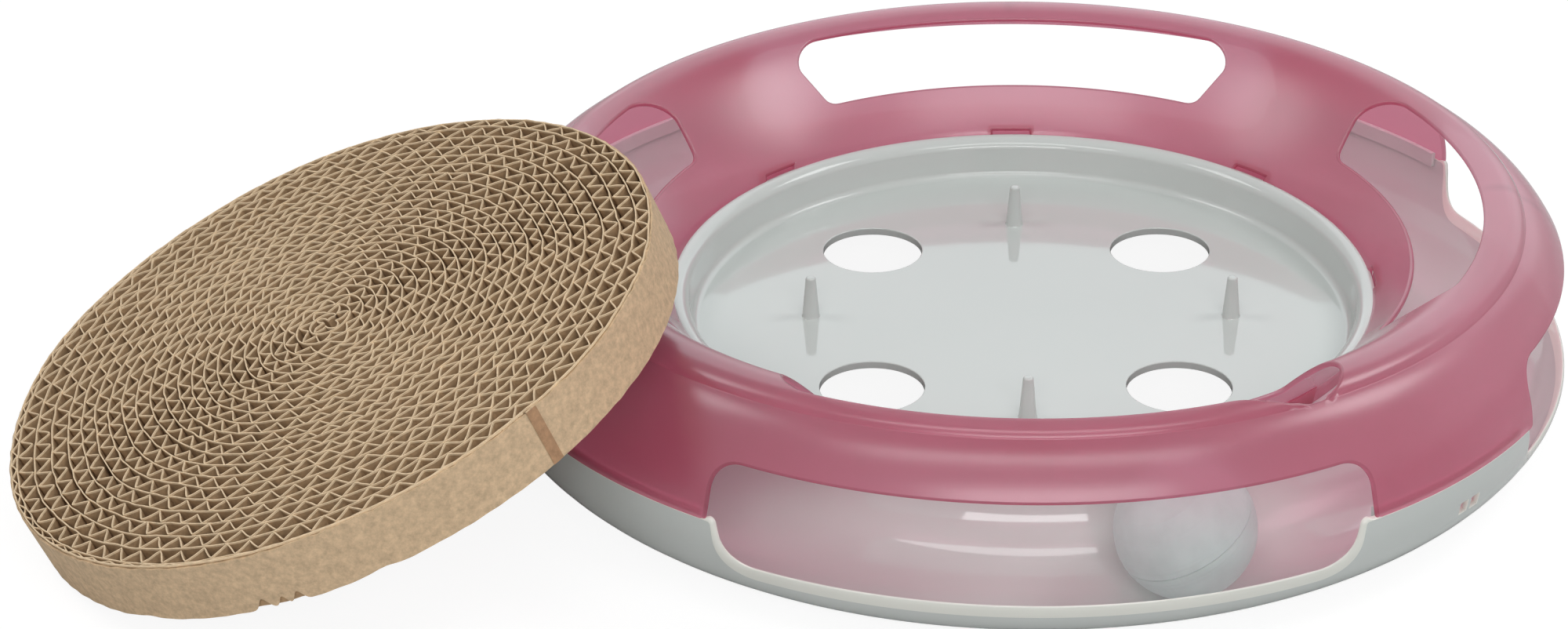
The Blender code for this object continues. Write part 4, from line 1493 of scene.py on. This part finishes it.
def white_world(strength):
    """Soft light from all around, and plain white where a view or reflection passes the model."""
    nodes = Nodes(bpy.data.worlds.new("surroundings"), "ShaderNodeOutputWorld")
    path = nodes.add("ShaderNodeLightPath")
    soft = nodes.add("ShaderNodeBackground", Color=WHITE, Strength=strength)
    plain = nodes.add("ShaderNodeBackground", Color=WHITE, Strength=1.0)
    seen = nodes.math("MAXIMUM", path.outputs["Is Camera Ray"], path.outputs["Is Glossy Ray"])
    seen = nodes.math("MAXIMUM", seen, path.outputs["Is Transmission Ray"])
    nodes.show(nodes.mixed(soft, plain, seen).outputs["Shader"])
    bpy.context.scene.world = nodes.owner


def floor_material():
    """A pale floor that shows the model's shadow."""
    nodes, coords = new_material("floor")
    dark, pale = ((0.78, 0.78, 0.78, 1), 0.3), ((0.80, 0.80, 0.80, 1), 0.7)
    base = nodes.mottled(coords, 3.0, 2.0, dark, pale)[0]
    face = nodes.add("ShaderNodeBsdfDiffuse", Color=base)
    glow = nodes.add("ShaderNodeEmission", Strength=1.13)
    path = nodes.add("ShaderNodeLightPath")
    share = nodes.math("MULTIPLY", path.outputs["Is Camera Ray"], 0.8)
    nodes.show(nodes.mixed(face, glow, share).outputs["Shader"])
    return nodes.owner


def add_floor_plane():
    """The floor under the model."""
    mesh = bpy.data.meshes.new("floor")
    size = 6.0
    corners = [(-size, -size, GROUND), (size, -size, GROUND), (size, size, GROUND), (-size, size, GROUND)]
    mesh.from_pydata(corners, [], [(0, 1, 2, 3)])
    mesh.materials.append(floor_material())
    floor = bpy.data.objects.new("floor", mesh)
    bpy.context.scene.collection.objects.link(floor)


# Each lamp's name, place, target, width, height, power in watts and colour
LAMPS = (
    ("overhead_front", (0.0, -0.69, 1.38), (0, 0, 0), 1.4, 0.34, 5.6, (1, 1, 1)),
    ("overhead_left", (-1.0, 0.16, 1.2), (0, 0, 0), 0.48, 0.48, 3.0, (1, 1, 1)),
    ("overhead_right", (1.0, 0.16, 1.2), (0, 0, 0), 0.5, 0.5, 4.4, (1, 1, 1)),
    ("front", (0.1, -1.5, 0.85), (0, -0.1, 0), 1.2, 0.3, 7.2, (1, 1, 1)),
    ("rear", (0.5, 2.0, 1.0), (0, 0, 0), 2.6, 1.4, 9.5, (0.86, 0.95, 1.0)),
)


def soft_lamp(name, place, target, width, height, power, colour):
    """A soft box that shines at a point."""
    lamp = bpy.data.lights.new(name, "AREA")
    lamp.shape = "RECTANGLE"
    lamp.size = width
    lamp.size_y = height
    lamp.energy = power
    lamp.color = colour
    holder = bpy.data.objects.new(name, lamp)
    bpy.context.scene.collection.objects.link(holder)
    holder.location = place
    holder.rotation_euler = (Vector(target) - Vector(place)).to_track_quat("-Z", "Y").to_euler()


class CATTOY_OT_stage(bpy.types.Operator):
    """Sets up the camera, the floor and the light"""

    bl_idname = "cattoy.make_stage"
    bl_label = "Make stage"

    def execute(self, context):
        stage = context.scene.cattoy_stage
        aim_camera(stage)
        white_world(stage.world_light)
        add_floor_plane()
        for name, place, target, width, height, power, colour in LAMPS:
            soft_lamp(name, place, target, width, height, power, colour)
        context.scene.view_settings.view_transform = "Standard"
        return {"FINISHED"}


class CATTOY_PT_panel(bpy.types.Panel):
    """Lists the pieces that can be made"""

    bl_label = "Cat scratcher"
    bl_idname = "CATTOY_PT_panel"
    bl_space_type = "VIEW_3D"
    bl_region_type = "UI"
    bl_category = "Cat scratcher"

    def draw(self, context):
        for operator in OPERATORS:
            self.layout.operator(operator.bl_idname)


SETTINGS = (
    ("cattoy_cover", CoverSettings),
    ("cattoy_base", BaseSettings),
    ("cattoy_ball", BallSettings),
    ("cattoy_pad", PadSettings),
    ("cattoy_stage", StageSettings),
)
OPERATORS = (
    CATTOY_OT_cover,
    CATTOY_OT_base,
    CATTOY_OT_ball,
    CATTOY_OT_winding,
    CATTOY_OT_wrap,
    CATTOY_OT_feet,
    CATTOY_OT_stage,
)


def register():
    """Adds the settings, the operators and the panel."""
    for name, group in SETTINGS:
        bpy.utils.register_class(group)
        setattr(bpy.types.Scene, name, bpy.props.PointerProperty(type=group))
    for operator in OPERATORS:
        bpy.utils.register_class(operator)
    bpy.utils.register_class(CATTOY_PT_panel)


def unregister():
    """Removes the panel, the operators and the settings."""
    bpy.utils.unregister_class(CATTOY_PT_panel)
    for operator in reversed(OPERATORS):
        bpy.utils.unregister_class(operator)
    for name, group in reversed(SETTINGS):
        delattr(bpy.types.Scene, name)
        bpy.utils.unregister_class(group)


def main():
    """Makes the whole model."""
    register()
    bpy.ops.cattoy.make_cover()
    bpy.ops.cattoy.make_base()
    bpy.ops.cattoy.make_ball()
    bpy.ops.cattoy.make_winding()
    bpy.ops.cattoy.make_wrap()
    bpy.ops.cattoy.make_feet()
    bpy.ops.cattoy.make_stage()


if __name__ == "__main__":
    main()
